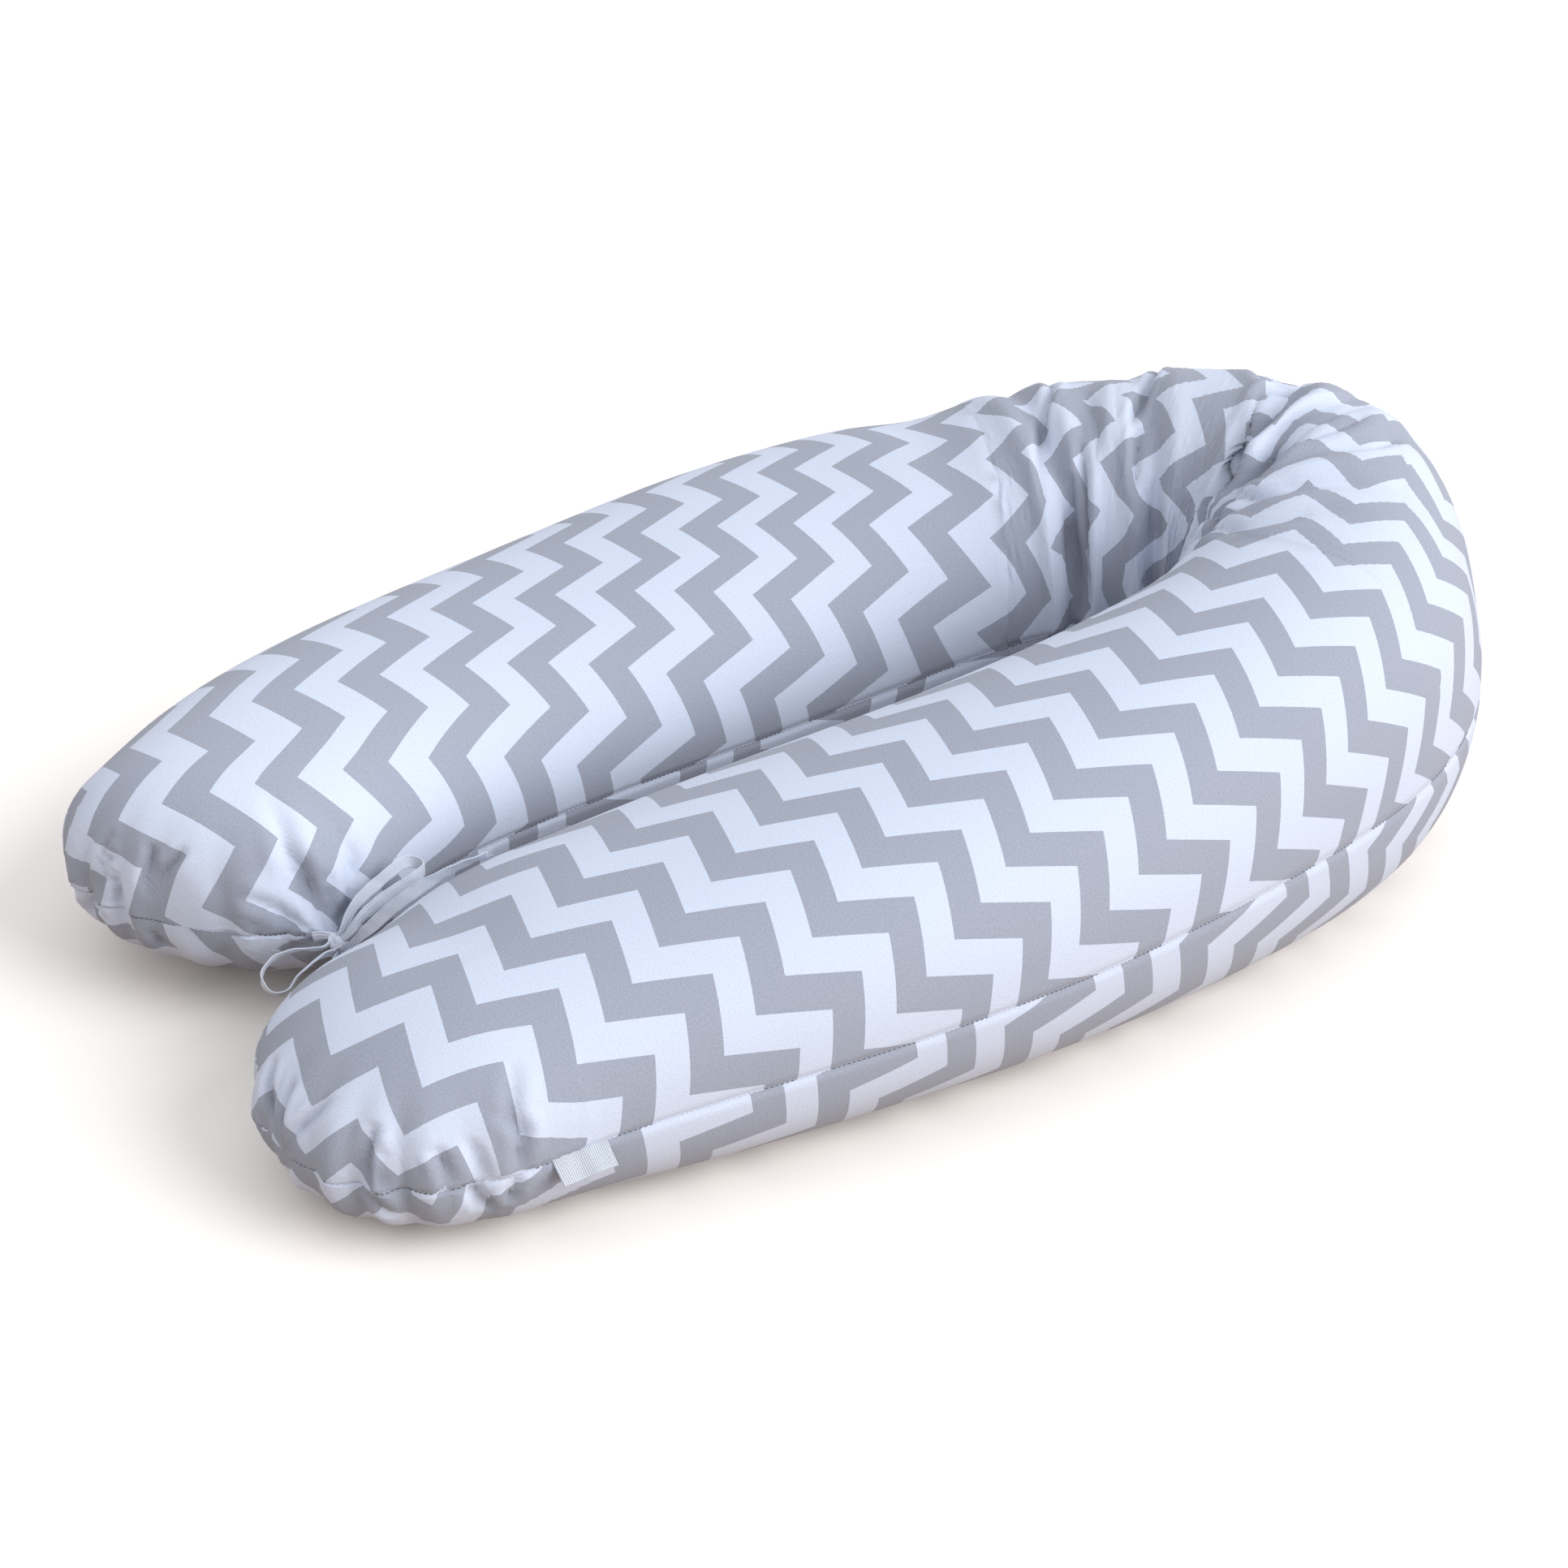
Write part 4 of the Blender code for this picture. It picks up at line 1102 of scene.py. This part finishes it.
def make_label(rings, along, angle):
    """A woven tape, folded over: two layers that meet in the seam and turn at the far edge."""
    at = np.linspace(-0.5, 0.5, LABEL_STEPS)
    places = LABEL_AT + at * LABEL_LENGTH
    near = np.abs(along - LABEL_AT) < LABEL_LENGTH
    root = np.stack([np.polyval(np.polyfit(along[near], c, 3), places) for c in rings[near, 0].T], 1)
    outward = root - cubic(along, rings[:, len(angle) // 2], places)
    outward[:, 2] = 0
    droop = math.radians(LABEL_DROOP)
    out = unit(outward) * math.cos(droop) + np.array([0, 0, -math.sin(droop)])
    run = unit(np.gradient(root, axis=0))
    thick = unit(np.cross(out, run))
    # Across: out along the lower layer, round the fold, and back along the upper one.
    layer = LABEL_THICKNESS * LABEL_FOLD
    reach = np.linspace(0, 1, LAYER_STEPS)
    bow = LABEL_THICKNESS / 2 * (1 - LABEL_PINCH * np.sin(math.pi * reach))
    fold = np.linspace(-math.pi / 2, math.pi / 2, FOLD_STEPS)[1:-1]
    outer = np.concatenate([reach, 1 + np.cos(fold) * layer / LABEL_WIDTH, reach[::-1]])
    up = np.concatenate([-bow, np.sin(fold) * bow[-1], bow[::-1]])
    ripple = LABEL_RIPPLE * np.sin(at * RIPPLE_RATE)[:, None]
    wave = LABEL_WAVE * (np.sin(at * 2 * math.pi)[:, None] * outer + ripple)
    start = root - out * LABEL_TUCK
    sections = start[:, None] + out[:, None] * (outer * LABEL_WIDTH)[:, None]
    sections = sections + (up + wave)[:, :, None] * thick[:, None]
    cuts = np.zeros((len(at), len(outer) + 1, 2))
    cuts[:, :, 0] = (at * LABEL_LENGTH)[:, None]
    cuts[:, :-1, 1] = run_of(np.stack([outer * LABEL_WIDTH, up], 1))
    cuts[:, -1, 1] = cuts[:, -2, 1] + LABEL_THICKNESS
    return skin("folded_label", sections + CENTRING, cuts)


tape_cloth = cotton_tape()
back_mesh, back_line, back_length, back_wide = make_tape("back_tape", BACK_TAPE)
front_mesh, front_line, front_length, _ = make_tape("front_tape", FRONT_TAPE)
back_tape = new_object("back_tape", back_mesh, tape_cloth)
front_tape = new_object("front_tape", front_mesh, tape_cloth)
knot = new_object("bow_knot", joined("bow_knot", [make_turn(*turn) for turn in TURNS]), tape_cloth)
frays = joined("tape_threads", frayed_threads(back_line, back_wide))
frays = new_object("tape_threads", frays, tape_cloth)
label = new_object("folded_label", make_label(body, along, angle), label_tape())
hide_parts("tie_back_lead", "tie_back_loop", "tie_back_end")
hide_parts("tie_front_lead", "tie_front_loop", "tie_front_end")
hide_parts("tie_knot")
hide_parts("label")
for piece in (back_tape, front_tape, knot, frays, label):
    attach(piece, "root")


# ---------------------------------------------------------------- seam stitches


def is_grey(cut):
    """Where the print is grey, as print_bands draws it."""
    zig = np.abs(np.mod(cut[:, 1] - ZIGZAG / 2, ZIGZAG) - ZIGZAG / 2)
    return (np.mod((cut[:, 0] - zig) / REPEAT, 1) < 0.5).astype(float)


def stitch_places(name, seam, out, cut):
    """A mesh of one point for each stitch along a seam, with the seam's run, the way out of the
    pillow and the print there as attributes."""
    run = run_of(seam)
    at = np.arange(STITCH_PITCH, run[-1] - STITCH_PITCH, STITCH_PITCH)

    def read(values):
        return np.stack([np.interp(at, run, column) for column in values.T], 1)

    way = unit(read(np.gradient(seam, run, axis=0)))
    out = unit(read(out))
    mesh = bpy.data.meshes.new(name)
    mesh.from_pydata((read(seam) + out * THREAD * STITCH_PROUD).tolist(), [], [])
    for called, kind, field, values in (
        ("run", "FLOAT_VECTOR", "vector", way),
        ("out", "FLOAT_VECTOR", "vector", out),
        ("ink", "FLOAT", "value", is_grey(read(cut))),
    ):
        mesh.attributes.new(called, kind, "POINT").data.foreach_set(field, values.ravel())
    return mesh


def stitch_tree(material):
    """One spindle of thread at each place, along the seam."""
    tree = bpy.data.node_groups.new("seam stitches", "GeometryNodeTree")
    sockets = tree.interface
    sockets.new_socket("Places", in_out="INPUT", socket_type="NodeSocketGeometry")
    for name in ("Stitch length", "Thread thickness"):
        sockets.new_socket(name, in_out="INPUT", socket_type="NodeSocketFloat")
    sockets.new_socket("Stitches", in_out="OUTPUT", socket_type="NodeSocketGeometry")
    given = add(tree, "NodeGroupInput")
    _, length, thickness = given.outputs[:3]
    ball = add(tree, "GeometryNodeMeshUVSphere", links={"Segments": 6, "Rings": 5, "Radius": 0.5})
    size = add(tree, "ShaderNodeCombineXYZ", links={0: thickness, 1: thickness, 2: length})
    spindle = add(tree, "GeometryNodeTransform", links={"Geometry": ball, "Scale": size})
    way, out = (
        add(tree, "GeometryNodeInputNamedAttribute", VECTORS, {"Name": called})
        for called in ("run", "out")
    )
    axes = {"primary_axis": "Z", "secondary_axis": "X"}
    turn = add(tree, "FunctionNodeAxesToRotation", axes, {0: way, 1: out})
    least, most = ((size, size, size) for size in STITCH_SIZES)
    uneven = {"Min": least, "Max": most, "Seed": STITCH_SEED}
    uneven = add(tree, "FunctionNodeRandomValue", VECTORS, uneven)
    row = add(
        tree,
        "GeometryNodeInstanceOnPoints",
        links={"Points": given, "Instance": spindle, "Rotation": turn, "Scale": uneven},
    )
    real = add(tree, "GeometryNodeRealizeInstances", links={"Geometry": row})
    inked = add(tree, "GeometryNodeSetMaterial", links={"Geometry": real, "Material": material})
    add(tree, "NodeGroupOutput", links={0: inked})
    return tree


def sew(name, places, tree):
    """The stitches of one seam, made by the node tree on its places and kept as a plain mesh."""
    guide = new_object(name + "_places", places)
    modifier = guide.modifiers.new("stitches", "NODES")
    modifier.node_group = tree
    sizes = {"Stitch length": STITCH_LENGTH, "Thread thickness": THREAD}
    for socket in tree.interface.items_tree:
        if socket.name in sizes:
            modifier[socket.identifier] = sizes[socket.name]
    depsgraph = bpy.context.evaluated_depsgraph_get()
    mesh = bpy.data.meshes.new_from_object(guide.evaluated_get(depsgraph))
    bpy.data.objects.remove(guide)
    mesh.name = name
    mesh.shade_smooth()
    stitches = new_object(name, mesh)
    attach(stitches, "root")


half_way = len(angle) // 2
body_out = normals_of(body)
stitching = stitch_tree(thread_with_seam_shade())
for name, column in (("outer_seam_stitches", 0), ("inner_seam_stitches", half_way)):
    seam = body[:, column] + CENTRING
    sew(name, stitch_places(name, seam, body_out[:, column], panels[0][:, column]), stitching)


# ---------------------------------------------------------------- room

floor_mesh = bpy.data.meshes.new("floor")
floor_mesh.from_pydata([(-30, -30, 0), (30, -30, 0), (30, 30, 0), (-30, 30, 0)], [], [(0, 1, 2, 3)])
floor_material, floor_tree, floor_shader = start_material("pale matt floor")
# The floor shows pale, but the light that it throws back on the pillow is dimmer and warm.
ray = add(floor_tree, "ShaderNodeLightPath")
tone = {0: ray.outputs["Is Camera Ray"], 6: linear("#B59E8C"), 7: linear("#FFFAF5")}
tone = add(floor_tree, "ShaderNodeMix", COLOURS, tone)
connect(floor_tree, floor_shader, {"Base Color": tone.outputs[2], "Roughness": 0.9})
new_object("floor", floor_mesh, floor_material)

world = bpy.data.worlds.new("studio")
bpy.context.scene.world = world
world.use_nodes = True
background = world.node_tree.nodes["Background"]
connect(world.node_tree, background, {"Color": linear("#FBFCFF"), "Strength": 0.88})
bpy.context.scene.view_settings.view_transform = "Standard"

window = bpy.data.lights.new("window", "SUN")
window.angle = math.radians(45)  # as wide as a big window close by, so its shadows are soft
window.energy = 2.5
aim(new_object("window", window), (2.0, -1.9, 1.75), (0, 0, 0.1))
